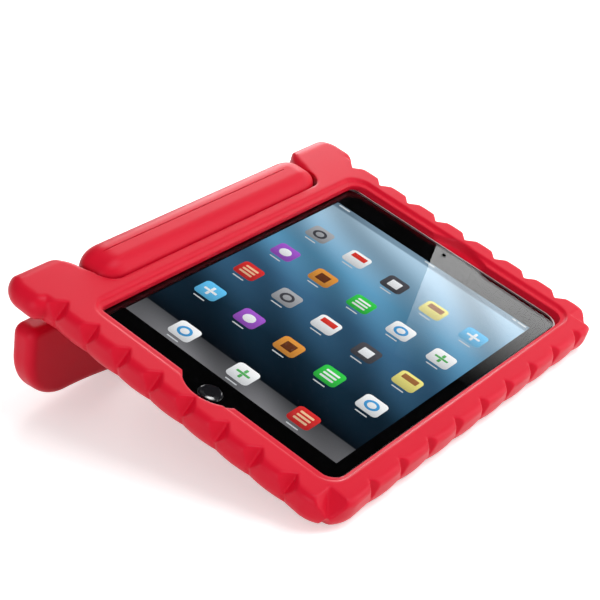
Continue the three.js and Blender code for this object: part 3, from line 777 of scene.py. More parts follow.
@dataclass
class CaseBody(SubAssembly):
    """The foam case: frame, lip, notches, ears and back in one moulding. Sizes are in millimetres.

    Attributes:
        half_x: Half of its length, at the swell between notches.
        front_y: Its front edge.
        rear_y: The rear edge of its ears.
        top: Height of its top over the glass.
        bottom: Height of its underside.
        top_round: Radius of the upper rim.
        bottom_round: Radius of the lower rim.
        corner: Radius of the front corners in plan.
        scallop: Depth of the swell between notches.
        side_first: The first side notch along y.
        side_pitch: From one side notch to the next.
        side_count: Number of side notches.
        side_in: Depth of a side notch at the top.
        front_first: The first front notch along x.
        front_pitch: From one front notch to the next.
        front_count: Number of front notches.
        front_in: Depth of a front notch at the top.
        corner_in: Depth of the corner notches.
        notch_open: Half width of a notch for each millimetre of its depth.
        notch_past: How far a notch's cutter reaches past the edge of the case.
        notch_mid_z: Height of the widest line of the side.
        notch_mid_in: Depth of a notch there.
        notch_low_share: Depth of a notch at the underside, as a share of its top.
        ear_flare: How far the ears stand out at their top.
        ear_start: From the last side notch to the ears.
        ear_swell: How far they swell at their middle.
        ear_front_y: Where the swell starts.
        ear_front_round: Radius of the corner there.
        ear_bottom: Underside of the swell.
        ear_corner: Radius of the ears' outer corners.
        ear_bevel: How far the swell rolls in at its top and bottom.
        ear_inner_x: Inner side of the ears.
        ear_inner_round: Radius of the ears' inner corners.
        rear_round: Radius of the rolled rear edge.
        recess: Radius of the recess for the bar.
        recess_fillet: Radius of its ends.
        recess_in: How far the plan reaches in past the hinge line.
        axis_y: The hinge line along y.
        axis_z: The hinge line's height.
        bore: Radius of the bushings' pockets.
        bore_end: Their far end along x.
        window: Low and high sides of the window along x and y.
        window_round: Radius of its corners.
        window_sharp: Radius of its sharp corner by the home button.
        ledge: Width of the shallow ledge round the window.
        ledge_front: Its width along the front.
        ledge_deep: Its depth.
        ledge_round: How far the radius of its corners is over the window's.
        home_scoop: Middle, underside, and low and high radius of the scoop at the home button.
        camera_scoop: The same for the shallow scoop beyond the front camera.
        volume_relief: Sides of the blind relief over the volume and mute buttons.
        sleep_relief: Sides of the blind relief over the sleep button.
        rear_opening: Middle, top, and low and high radius of the rear camera's opening.
        pocket: Low and high sides of the tablet's pocket along x and y.
        pocket_z: Its underside and top.
        pocket_round: Radius of its corners.
    """

    half_x: float = 112.2
    front_y: float = -81.15
    rear_y: float = 102.3
    top: float = 4.5
    bottom: float = -11.5
    top_round: float = 3.4
    bottom_round: float = 8.5
    corner: float = 16.5
    scallop: float = 0.8
    side_first: float = -56.4
    side_pitch: float = 18.41
    side_count: int = 8
    side_in: float = 7.3
    front_first: float = -82.9
    front_pitch: float = 21.49
    front_count: int = 9
    front_in: float = 5.0
    corner_in: float = 11.0
    notch_open: float = 0.9
    notch_past: float = 3.4
    notch_mid_z: float = -3.2
    notch_mid_in: float = 0.6
    notch_low_share: float = 0.6
    ear_flare: float = 0.8
    ear_start: float = 6.0
    ear_swell: float = 5.6
    ear_front_y: float = 77.0
    ear_front_round: float = 7.0
    ear_bottom: float = -8.0
    ear_corner: float = 12.0
    ear_bevel: float = 5.4
    ear_inner_x: float = 80.5
    ear_inner_round: float = 17.0
    rear_round: float = 7.9
    recess: float = 18.5
    recess_fillet: float = 9.5
    recess_in: float = 3.0
    axis_y: float = 89.0
    axis_z: float = -3.5
    bore: float = 5.3
    bore_end: float = 97.8
    window: tuple[float, float, float, float] = (-95.2, 96.9, -67.9, 62.8)
    window_round: float = 7.0
    window_sharp: float = 2.5
    ledge: float = 4.2
    ledge_front: float = 2.31
    ledge_deep: float = 1.3
    ledge_round: float = 3.0
    home_scoop: tuple[float, ...] = (-86.3, 0.0, 0.0, 16.2, 17.6)
    camera_scoop: tuple[float, ...] = (67.2, -4.0, -0.5, 33.3, 34.7)
    volume_relief: tuple[float, ...] = (36.3, 82.2, -69.2, -66.6, -5.4, -1.8)
    sleep_relief: tuple[float, ...] = (95.6, 98.2, -58.6, -43.4, -5.4, -1.8)
    rear_opening: tuple[float, ...] = (87.0, -57.0, -6.2, 10.0, 8.0)
    pocket: tuple[float, float, float, float] = (-100.9, 96.9, -67.9, 67.9)
    pocket_z: tuple[float, float] = (-7.5, 0.3)
    pocket_round: float = 9.0

    def side_notches(self) -> list[float]:
        """Give the places of the side notches along y."""
        return [self.side_first + self.side_pitch * i for i in range(self.side_count)]

    def front_notches(self) -> list[float]:
        """Give the places of the front notches along x."""
        return [self.front_first + self.front_pitch * i for i in range(self.front_count)]

    def swell(self, share: float) -> float:
        """Give how far the edge stays inside its widest line, a share of the way between two notches."""
        return self.scallop * (1 - 4 * share * (1 - share))

    def outline(self) -> list[Point]:
        """Give the plan of the case, anticlockwise.

        Returns:
            The outline's points.
        """
        hx, r = self.half_x, self.corner
        fronts, sides = self.front_notches(), self.side_notches()
        shares = [i / RIM_STEPS for i in range(RIM_STEPS)]
        points = arc(-hx + r, self.front_y + r, r, 180, 270, CORNER_STEPS)
        for x in fronts[:-1]:
            points += [(x + self.front_pitch * t, self.front_y + self.swell(t)) for t in shares]
        points.append((fronts[-1], self.front_y + self.scallop))
        points += arc(hx - r, self.front_y + r, r, 270, 360, CORNER_STEPS)
        right = [(hx - self.swell(t), y + self.side_pitch * t) for y in sides[:-1] for t in shares]
        right += [(hx - self.scallop, sides[-1]), (hx, sides[-1] + self.ear_start)]
        ear, c, q = hx + self.ear_flare, self.ear_corner, self.ear_inner_round
        right += arc(ear - c, self.rear_y - c, c, 0, 90, CORNER_STEPS)
        right += arc(self.ear_inner_x + q, self.rear_y - q, q, 90, 180, CORNER_STEPS)
        right.append((self.ear_inner_x, self.axis_y - self.recess_in))
        return points + right + [(-x, y) for x, y in reversed(right)]

    def notch(self, x: float, y: float, turn: float, depth: float) -> bmesh.types.BMesh:
        """Make the cutter of one V notch, whose crease bends out at the widest line of the side.

        Args:
            x: Where the edge is along x.
            y: Where the edge is along y.
            turn: The outward way, in degrees.
            depth: How deep the notch is at the top.

        Returns:
            The cutter.
        """
        past, mid = self.notch_past, self.notch_mid_in
        over, under = self.top + 2 * OVER, self.bottom - 2 * OVER
        top_slope = (depth - mid) / (self.top - self.notch_mid_z)
        low_slope = (depth * self.notch_low_share - mid) / (self.notch_mid_z - self.bottom)
        levels = (
            (under, mid + low_slope * (self.notch_mid_z - under)),
            (self.notch_mid_z, mid),
            (over, mid + top_slope * (over - self.notch_mid_z)),
        )
        rings = []
        for height, deep in levels:
            half = self.notch_open * (past + deep)
            rings.append((((-deep, 0), (past, -half), (past, half)), height))
        bm = loft(rings)
        place = Matrix.Translation((x, y, 0)) @ Matrix.Rotation(math.radians(turn), 4, "Z")
        bmesh.ops.transform(bm, matrix=place, verts=bm.verts)
        return bm

    def notches(self) -> bmesh.types.BMesh:
        """Make the cutters of all the notches.

        Returns:
            One mesh with every cutter.
        """
        edge, front = self.half_x - self.scallop, self.front_y + self.scallop
        side_deep, front_deep = self.side_in - self.scallop, self.front_in - self.scallop
        cutters = []
        for y in self.side_notches():
            cutters += [self.notch(-edge, y, 180, side_deep), self.notch(edge, y, 0, side_deep)]
        cutters += [self.notch(x, front, -90, front_deep) for x in self.front_notches()]
        back = self.corner * (1 - math.sqrt(0.5))
        for side, turn in ((-1, 225), (1, 315)):
            corner = side * (self.half_x - back)
            cutters.append(self.notch(corner, self.front_y + back, turn, self.corner_in))
        return joined(cutters)

    def ear(self, side: int) -> bmesh.types.BMesh:
        """Make the swelling block of one ear.

        Args:
            side: -1 or 1 along x.

        Returns:
            The solid.
        """
        outer, c, f = self.half_x + self.ear_swell, self.ear_corner, self.ear_front_round
        inner = self.ear_inner_x + self.ear_inner_round
        outline = arc(outer - c, self.rear_y - c, c, 0, 90, CORNER_STEPS)
        outline += [(inner, self.rear_y), (inner, self.ear_front_y)]
        outline += arc(outer - f, self.ear_front_y + f, f, 270, 360, FILLET_STEPS)
        middle = (self.ear_bottom + self.top) / 2
        half = self.top - middle
        rise = quarter(WINDOW_STEPS)
        rings = [
            (grown(outline, self.ear_bevel * (math.cos(a) - 1)), middle + half * math.sin(a))
            for a in [-a for a in rise[:0:-1]] + rise
        ]
        bm = loft(rings)
        if side < 0:
            bmesh.ops.scale(bm, vec=(-1, 1, 1), verts=bm.verts)
            bmesh.ops.reverse_faces(bm, faces=bm.faces)
        return bm

    def window_tools(self) -> list[bmesh.types.BMesh]:
        """Make the cutters of the tablet's pocket, the window, its ledge and its two scoops.

        Returns:
            The cutters.
        """
        x0, x1, y0, y1 = self.window
        w, q, e = self.window_round, self.window_sharp, self.ledge
        window = arc(x1 - w, y1 - w, w, 0, 90, WINDOW_STEPS)
        window += arc(x0 + q, y1 - q, q, 90, 180, SHARP_STEPS)
        window += arc(x0 + w, y0 + w, w, 180, 270, WINDOW_STEPS)
        window += arc(x1 - w, y0 + w, w, 270, 360, WINDOW_STEPS)
        ledge = rounded_rect(x0 - e, x1 + e, y0 - self.ledge_front, y1 + e, w + self.ledge_round)
        over = self.top + OVER
        tools = [
            slab(rounded_rect(*self.pocket, self.pocket_round), *self.pocket_z),
            slab(window, -OVER, over),
            slab(ledge, self.top - self.ledge_deep, over),
        ]
        for x, y, under, low_radius, high_radius in (self.home_scoop, self.camera_scoop):
            tools.append(cone(x, y, under, over, low_radius, high_radius))
        return tools

    def hinge_tools(self) -> list[bmesh.types.BMesh]:
        """Make the cutters of the recess that the bar turns in and of the bushings' pockets.

        Returns:
            The cutters.
        """
        x, r, f = self.ear_inner_x, self.recess, self.recess_fillet
        profile = [(-x, 0.0)]
        profile += [(-x + f - f * math.cos(a), r - f + f * math.sin(a)) for a in quarter(RIM_STEPS)]
        profile += [(x - f + f * math.sin(a), r - f + f * math.cos(a)) for a in quarter(RIM_STEPS)]
        profile.append((x, 0.0))
        tools = [turned(profile, self.axis_y, self.axis_z)]
        for low, high in ((-self.bore_end, OVER - x), (x - OVER, self.bore_end)):
            bore = ((low, 0), (low, self.bore), (high, self.bore), (high, 0))
            tools.append(turned(bore, self.axis_y, self.axis_z))
        return tools

    def relief_tools(self) -> list[bmesh.types.BMesh]:
        """Make the cutters of the reliefs over the side buttons and of the rear camera's opening.

        Returns:
            The cutters.
        """
        x, y, top, low_radius, high_radius = self.rear_opening
        opening = cone(x, y, self.bottom - OVER, top, low_radius, high_radius)
        return [block(*self.volume_relief), block(*self.sleep_relief), opening]

    def build(self) -> None:
        """Carve and dress the case."""
        foam = FoamMoulding("foam_case")
        foam.start(slab(self.outline(), self.bottom, self.top, self.bottom_round, self.top_round))
        foam.carve(self.ear(-1), Carve.JOIN)
        foam.carve(self.ear(1), Carve.JOIN)
        side = rounded_rect(-FAR, self.rear_y, self.bottom, self.top, self.rear_round, RIM_STEPS)
        foam.carve(loft(((side, -FAR), (side, FAR)), Axis.ALONG), Carve.KEEP)
        foam.carve(self.notches(), Carve.CUT)
        for tool in (*self.window_tools(), *self.hinge_tools(), *self.relief_tools()):
            foam.carve(tool, Carve.CUT)
        made = foam.finish(self.place)
        dress(made, FOAM.material())
        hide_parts("case_body")
        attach(made, "root")


# The handle


@dataclass
class SwivelHandle(SubAssembly):
    """The foam hinge bar and the wide plate with its hand hole. Sizes are in millimetres.

    Attributes:
        axis_y: The hinge line along y.
        axis_z: The hinge line's height.
        rest: How far the plate is folded back at rest, in degrees.
        bar_half: Half of the bar's length.
        bar_section: Low and high sides of the bar's section along y and z.
        bar_round: Radius of the section's corners.
        bar_end: How far the bar's ends draw in.
        bar_end_length: How long they take to draw in.
        plate_thick: Thickness of the plate.
        plate_offset: How far its middle lies off the hinge line.
        plate_round: Radius of its rims.
        plate_half: Half of its width.
        neck_half: Half of the width of its neck at the bar.
        neck_in: How far the neck reaches into the bar, past the hinge line.
        neck_bevel: Bevel between the neck and the shoulders.
        shoulder: From the hinge line to its shoulders.
        shoulder_round: Radius of the shoulders.
        foot: From the hinge line to its foot.
        foot_corner: Radius of the foot's corners.
        foot_rise: How far the corners stay above the foot.
        foot_flat: Half of the foot's flat middle.
        hand: Low and high sides of the hand hole along x and down the plate.
        hand_round: Radius of its ends.
        bore: Radius of the rod's bore.
        seam: Both ends of the moulding seam along the bar, and its place along y.
        seam_half: Half of the seam's width.
        seam_deep: Its depth.
    """

    axis_y: float = 89.0
    axis_z: float = -3.5
    rest: float = 99.0
    bar_half: float = 79.3
    bar_section: tuple[float, float, float, float] = (72.5, 96.5, -12.0, 9.0)
    bar_round: float = 9.0
    bar_end: float = 8.5
    bar_end_length: float = 13.0
    plate_thick: float = 12.94
    plate_offset: float = 2.0
    plate_round: float = 4.0
    plate_half: float = 112.2
    neck_half: float = 72.0
    neck_in: float = 3.0
    neck_bevel: float = 1.5
    shoulder: float = 14.6
    shoulder_round: float = 5.0
    foot: float = 60.46
    foot_corner: float = 25.0
    foot_rise: float = 4.9
    foot_flat: float = 30.0
    hand: tuple[float, float, float, float] = (-52.0, 52.0, 27.0, 47.0)
    hand_round: float = 10.0
    bore: float = 3.3
    seam: tuple[float, float, float] = (-71.0, 62.0, 86.6)
    seam_half: float = 0.22
    seam_deep: float = 0.55

    def plate_outline(self) -> list[Point]:
        """Give the plate's plan, anticlockwise, with the hinge line along its top.

        Returns:
            The outline's points.
        """
        w, s, r, c = self.plate_half, self.shoulder, self.shoulder_round, self.foot_corner
        neck, bevel = self.neck_half, self.neck_bevel
        right = [(neck, -self.neck_in), (neck, s - bevel), (neck + bevel, s)]
        right += arc(w - r, s + r, r, -90, 0, FILLET_STEPS)
        right += arc(w - c, self.foot - self.foot_rise - c, c, 0, 90, FOOT_STEPS)
        for i in range(1, RIM_STEPS + 1):
            share = i / RIM_STEPS
            left = self.foot_rise * (1 + math.cos(math.pi * share)) / 2
            right.append((w - c - (w - c - self.foot_flat) * share, self.foot - left))
        return right + [(-x, y) for x, y in reversed(right)]

    def plate(self) -> bmesh.types.BMesh:
        """Make the plate, folded back to its rest.

        Returns:
            The solid.
        """
        t = self.plate_thick / 2
        low, high = self.plate_offset - t, self.plate_offset + t
        bm = slab(self.plate_outline(), low, high, self.plate_round, self.plate_round)
        bmesh.ops.transform(bm, matrix=self.fold(), verts=bm.verts)
        return bm

    def fold(self) -> Matrix:
        """Give the matrix that folds the flat plate back at its hinge."""
        place = Matrix.Translation((0, self.axis_y, self.axis_z))
        return place @ Matrix.Rotation(math.radians(-self.rest), 4, "X")

    def bar(self) -> bmesh.types.BMesh:
        """Make the hinge bar with its drawn-in ends.

        Returns:
            The solid.
        """
        section = rounded_rect(*self.bar_section, self.bar_round, RIM_STEPS)
        rings = []
        for a in quarter(RIM_STEPS):
            reach = self.bar_half - self.bar_end_length * (1 - math.sin(a))
            rings.append((grown(section, self.bar_end * (math.cos(a) - 1)), reach))
        rings = [(outline, -reach) for outline, reach in reversed(rings)] + rings
        return loft(rings, Axis.ALONG)

    def hand_hole(self) -> bmesh.types.BMesh:
        """Make the cutter of the hand hole, flared at both faces.

        Returns:
            The cutter.
        """
        t, r = self.plate_thick / 2, self.plate_round
        x0, x1, s0, s1 = self.hand
        rings = []
        for side in (-1, 1):
            for a in quarter(SHARP_STEPS)[::side]:
                flare = r * (1 - math.cos(a))
                height = self.plate_offset + side * (t - r + r * math.sin(a))
                sides = (x0 - flare, x1 + flare, s0 - flare, s1 + flare)
                hole = rounded_rect(*sides, self.hand_round + flare, WINDOW_STEPS)
                rings.append((hole, height))
        rings.sort(key=lambda ring: ring[1])
        rings.insert(0, (rings[0][0], rings[0][1] - OVER))
        rings.append((rings[-1][0], rings[-1][1] + OVER))
        bm = loft(rings)
        bmesh.ops.transform(bm, matrix=self.fold(), verts=bm.verts)
        return bm

    def build(self) -> None:
        """Carve and dress the handle."""
        x0, x1, y = self.seam
        top, half = self.bar_section[3], self.seam_half
        seam = block(x0, x1, y - half, y + half, top - self.seam_deep, top + OVER)
        foam = FoamMoulding("foam_handle", keep_share=0.4, seams=[seam])
        foam.start(self.bar())
        foam.carve(self.plate(), Carve.JOIN)
        foam.carve(self.hand_hole(), Carve.CUT)
        bore = ((-FAR, 0), (-FAR, self.bore), (FAR, self.bore), (FAR, 0))
        foam.carve(turned(bore, self.axis_y, self.axis_z), Carve.CUT)
        made = foam.finish(self.place)
        dress(made, FOAM.material())
        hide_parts("handle")
        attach(made, "swivel_handle")


# The tablet


class Motif(Enum):
    """The plain mark on a lit tile."""

    RING = "ring"
    DOT = "dot"
    BARS = "bars"
    CROSS = "cross"
    SQUARE = "square"
    HALF = "half"


# The bars of a mark: low and high sides along x and y, as shares of the tile's side
MARK_BARS = {
    Motif.BARS: tuple((a, a + 0.11, -0.3, 0.3) for a in (-0.28, -0.06, 0.16)),
    Motif.CROSS: ((-0.06, 0.06, -0.3, 0.3), (0.08, 0.3, -0.06, 0.06), (-0.3, -0.08, -0.06, 0.06)),
    Motif.SQUARE: ((-0.25, 0.25, -0.25, 0.25),),
    Motif.HALF: ((0.02, 0.34, -0.34, 0.34),),
}


@dataclass
class Tablet(SubAssembly):
    """The tablet: its glass, lit screen and border, its buttons and what it holds. Sizes are in millimetres.

    Attributes:
        screen: Low and high sides of the lit screen along x and y.
        border: Low and high sides of the printed border along x and y.
        border_z: Underside and top of the border.
        border_round: Radius of its corners.
        screen_round: Radius of the screen's corners.
        home: The home button along x, and the radius that the border leaves for it.
        camera: The front camera along x, and the radius of its eye.
        eye_rings: Share of that radius and height of each ring of the eye.
        tile: Side of a tile.
        tile_round: Radius of its corners, as a share of its side.
        tile_shade: How much lighter or darker its two ends are.
        tile_z: Heights of a tile's underside, its face and its mark's face.
        mark_gap: From the tile's face to the underside of its mark.
        mark_round: Radius of the corners of a mark's bars, as a share of the tile's side.
        mark_radii: Radii of the ring, its hole and the dot, as shares of the tile's side.
        rows: Places of the tiles along x.
        columns: Their places along y.
        dock: Place of the dock's tiles along x.
        dock_columns: Their places along y.
        line_x: Low and high sides of a tile's underline, from its middle.
        line_half: Half of the underline's length.
        line_round: Radius of its corners.
        line_tint: Its colour.
        line_middle: Where it has just that colour, from the tile's middle.
        status_x: Low and high sides of the small marks at the top of the screen.
        status: Their places along y, and half of their lengths.
        status_round: Radius of their corners.
        status_tint: Their colour.
        status_middle: Where they have just that colour.
    """

    screen: tuple[float, float, float, float] = (-81.2, 78.4, -59.9, 59.9)
    border: tuple[float, float, float, float] = (-99.0, 95.0, -66.0, 66.0)
    border_z: tuple[float, float] = (-1.26, -1.06)
    border_round: float = 7.4
    screen_round: float = 0.3
    home: tuple[float, float] = (-92.4, 5.6)
    camera: tuple[float, float] = (89.6, 1.2)
    eye_rings: tuple[Point, ...] = ((1.0, 0.01), (1.0, 0.03), (0.8, 0.04))
    tile: float = 12.0
    tile_round: float = 0.19
    tile_shade: float = 0.3
    tile_z: tuple[float, float, float] = (-1.28, -1.2, -1.13)
    mark_gap: float = 0.01
    mark_round: float = 0.03
    mark_radii: tuple[float, float, float] = (0.3, 0.18, 0.26)
    rows: tuple[float, ...] = (-38.0, -10.0, 18.0, 46.0)
    columns: tuple[float, ...] = (-47.0, -23.5, 0.0, 23.5, 47.0)
    dock: float = -70.5
    dock_columns: tuple[float, ...] = (-34.0, 0.0, 34.0)
    line_x: Point = (-8.6, -7.9)
    line_half: float = 3.2
    line_round: float = 0.3
    line_tint: Colour = (0.55, 0.58, 0.6)
    line_middle: float = -8.0
    status_x: Point = (76.4, 77.5)
    status: tuple[Point, ...] = ((-56.0, 2.4), (-51.5, 1.2), (0.0, 3.0), (54.5, 3.4))
    status_round: float = 0.4
    status_tint: Colour = (0.6, 0.65, 0.68)
    status_middle: float = 77.0

    def border_ring(self) -> None:
        """Build the black border printed round the screen."""
        low, high = self.border_z
        under, over = low - OVER, high + OVER
        ring = Carving("screen_border")
        ring.start(slab(rounded_rect(*self.border, self.border_round), low, high))
        hole = rounded_rect(*self.screen, self.screen_round, SCREEN_STEPS)
        ring.carve(slab(hole, under, over), Carve.CUT)
        x, radius = self.home
        ring.carve(cone(x, 0, under, over, radius, radius), Carve.CUT)
        made = ring.finish(self.place)
        dress(made, BORDER_PRINT.material())
        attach(made, "root")

    def camera_eye(self) -> None:
        """Build the small dark eye of the front camera, flush in the glass."""
        x, radius = self.camera
        disc = loft([(arc(x, 0, radius * share, 0, 360, FOOT_STEPS)[:-1], z) for share, z in self.eye_rings])
        made = piece("camera_eye", disc, self.place)
        dress(made, BORDER_PRINT.material())
        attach(made, "root")

    def tinted(self, bm: bmesh.types.BMesh, colour: Colour, centre: float) -> bmesh.types.BMesh:
        """Give a flat piece its tint, lighter towards its upper end.

        Args:
            bm: The piece.
            colour: Its colour, as linear red, green and blue.
            centre: Its middle along x.

        Returns:
            The same piece.
        """
        layer = bm.verts.layers.float_color.new(LitTile.attribute)
        for vert in bm.verts:
            gain = 1 + self.tile_shade * (vert.co.x - centre) / (self.tile / 2)
            vert[layer] = (*(min(1.0, c * gain) for c in colour), 1)
        return bm

    def mark(self, x: float, y: float, motif: Motif) -> list[bmesh.types.BMesh]:
        """Build the plain mark on a tile.

        Args:
            x: The tile's middle along x.
            y: The tile's middle along y.
            motif: Which mark.

        Returns:
            The mark's pieces.
        """
        low, high = self.tile_z[1] + self.mark_gap, self.tile_z[2]
        t = self.tile
        ring, hole, dot = (t * share for share in self.mark_radii)
        if motif is Motif.RING:
            made = Carving("ring_mark")
            made.start(cone(x, y, low, high, ring, ring))
            made.carve(cone(x, y, low - OVER, high + OVER, hole, hole), Carve.CUT)
            return [made.shape()]
        if motif is Motif.DOT:
            return [cone(x, y, low, high, dot, dot)]
        bars = []
        for x0, x1, y0, y1 in MARK_BARS[motif]:
            sides = (x + t * x0, x + t * x1, y + t * y0, y + t * y1)
            bars.append(slab(rounded_rect(*sides, t * self.mark_round, SMALL_STEPS), low, high))
        return bars

    def tile_parts(self, x: float, y: float, look: tuple[Colour, Colour, Motif]) -> list[bmesh.types.BMesh]:
        """Build a lit tile with its mark and its short underline.

        Args:
            x: Its middle along x.
            y: Its middle along y.
            look: Its colour, its mark's colour and its mark.

        Returns:
            Its pieces.
        """
        ground, figure, motif = look
        low, face, _ = self.tile_z
        half, wide = self.tile / 2, self.line_half
        x0, x1 = (x + offset for offset in self.line_x)
        corner = self.tile * self.tile_round
        base = slab(rounded_rect(x - half, x + half, y - half, y + half, corner, SHARP_STEPS), low, face)
        parts = [self.tinted(base, ground, x)]
        parts += [self.tinted(mark, figure, x) for mark in self.mark(x, y, motif)]
        line = slab(rounded_rect(x0, x1, y - wide, y + wide, self.line_round, SMALL_STEPS), low, face)
        return parts + [self.tinted(line, self.line_tint, x + self.line_middle)]

    def tiles(self) -> None:
        """Build the lit tiles and the small marks at the top of the screen."""
        low, face, _ = self.tile_z
        spots = [(x, y) for x in self.rows for y in self.columns]
        spots += [(self.dock, y) for y in self.dock_columns]
        parts = []
        for i, (x, y) in enumerate(spots):
            parts += self.tile_parts(x, y, TILE_LOOKS[i % len(TILE_LOOKS)])
        for y, wide in self.status:
            sides = (*self.status_x, y - wide, y + wide)
            strip = slab(rounded_rect(*sides, self.status_round, SMALL_STEPS), low, face)
            parts.append(self.tinted(strip, self.status_tint, self.status_middle))
        made = piece("screen_tiles", joined(parts), self.place, smooth=False)
        dress(made, LitTile().material())
        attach(made, "root")
        LOG.info("%s has %d faces", made.name, len(made.data.polygons))

    def dress_nodes(self) -> None:
        """Give the frame's own pieces their finishes."""
        x0, x1 = self.screen[:2]
        picture = LitPicture("lit_screen", x0 * MM, (x1 - x0) * MM, SCREEN_STOPS)
        dress(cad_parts["front_glass"], CoverGlass().material())
        dress(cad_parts["display_panel"], picture.material())
        for finish, names in NODE_FINISHES:
            material = finish.material()
            for name in names:
                dress(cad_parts[name], material)
                LOG.info("%s is %s", name, finish.name)

    def build(self) -> None:
        """Build and dress the tablet."""
        self.dress_nodes()
        self.border_ring()
        self.camera_eye()
        self.tiles()


SCREEN_STOPS = (
    (0.0, (0.16, 0.16, 0.17)),
    (0.088, (0.05, 0.052, 0.056)),
    (0.09, (0.0008, 0.0026, 0.005)),
    (0.26, (0.005, 0.02, 0.037)),
    (0.51, (0.038, 0.115, 0.21)),
    (0.7, (0.1, 0.29, 0.46)),
    (0.97, (0.38, 0.54, 0.67)),
    (0.975, (0.16, 0.25, 0.33)),
)
WHITE = (0.78, 0.8, 0.82)
TILE_LOOKS = (
    (WHITE, (0.05, 0.3, 0.62), Motif.RING),
    ((0.03, 0.5, 0.06), WHITE, Motif.BARS),
    ((0.62, 0.25, 0.04), (0.12, 0.03, 0.01), Motif.SQUARE),
    ((0.3, 0.08, 0.5), WHITE, Motif.DOT),
    ((0.1, 0.45, 0.75), WHITE, Motif.CROSS),
    ((0.75, 0.68, 0.2), (0.3, 0.12, 0.04), Motif.HALF),
    ((0.06, 0.06, 0.07), WHITE, Motif.SQUARE),
    (WHITE, (0.6, 0.03, 0.02), Motif.HALF),
    ((0.32, 0.33, 0.35), (0.05, 0.05, 0.06), Motif.RING),
    ((0.55, 0.02, 0.02), (0.75, 0.5, 0.3), Motif.BARS),
    (WHITE, (0.08, 0.4, 0.1), Motif.CROSS),
)
NODE_FINISHES = (
    (SHELL_METAL, ("tablet_back_shell", "volume_up_button", "volume_down_button")),
    (SHELL_METAL, ("mute_switch", "sleep_button")),
    (BLACK_GLOSS, ("home_button",)),
    (LENS, ("front_camera", "rear_camera")),
    (STEEL, ("home_button_switch", "charging_connector", "headphone_jack", "hinge_rod")),
    (DARK_PLASTIC, ("battery", "speaker_left", "speaker_right", "hinge_bushing_left", "hinge_bushing_right")),
    (BOARD, ("logic_board",)),
)


# Camera, lights and floor


# Name, place, side and power in watts of each soft lamp
LAMPS = (
    ("key_light", (0.2, -0.6, 1.15), 0.7, 8.2),
    ("far_light", (0.86, 0.6, 0.49), 0.5, 5.6),
    ("side_light", (-1.1, -0.15, 0.25), 0.6, 3.4),
    ("front_light", (0.75, -0.85, 0.4), 0.8, 4.5),
)


def placed(numbers: Sequence[float]) -> Vector:
    """Give a dataclass field that starts as a vector."""
    return field(default_factory=lambda: Vector(numbers))


def facing(way: Sequence[float]) -> Euler:
    """Give the turn of a camera or a lamp that faces a way."""
    return Vector(way).to_track_quat("-Z", "Y").to_euler()


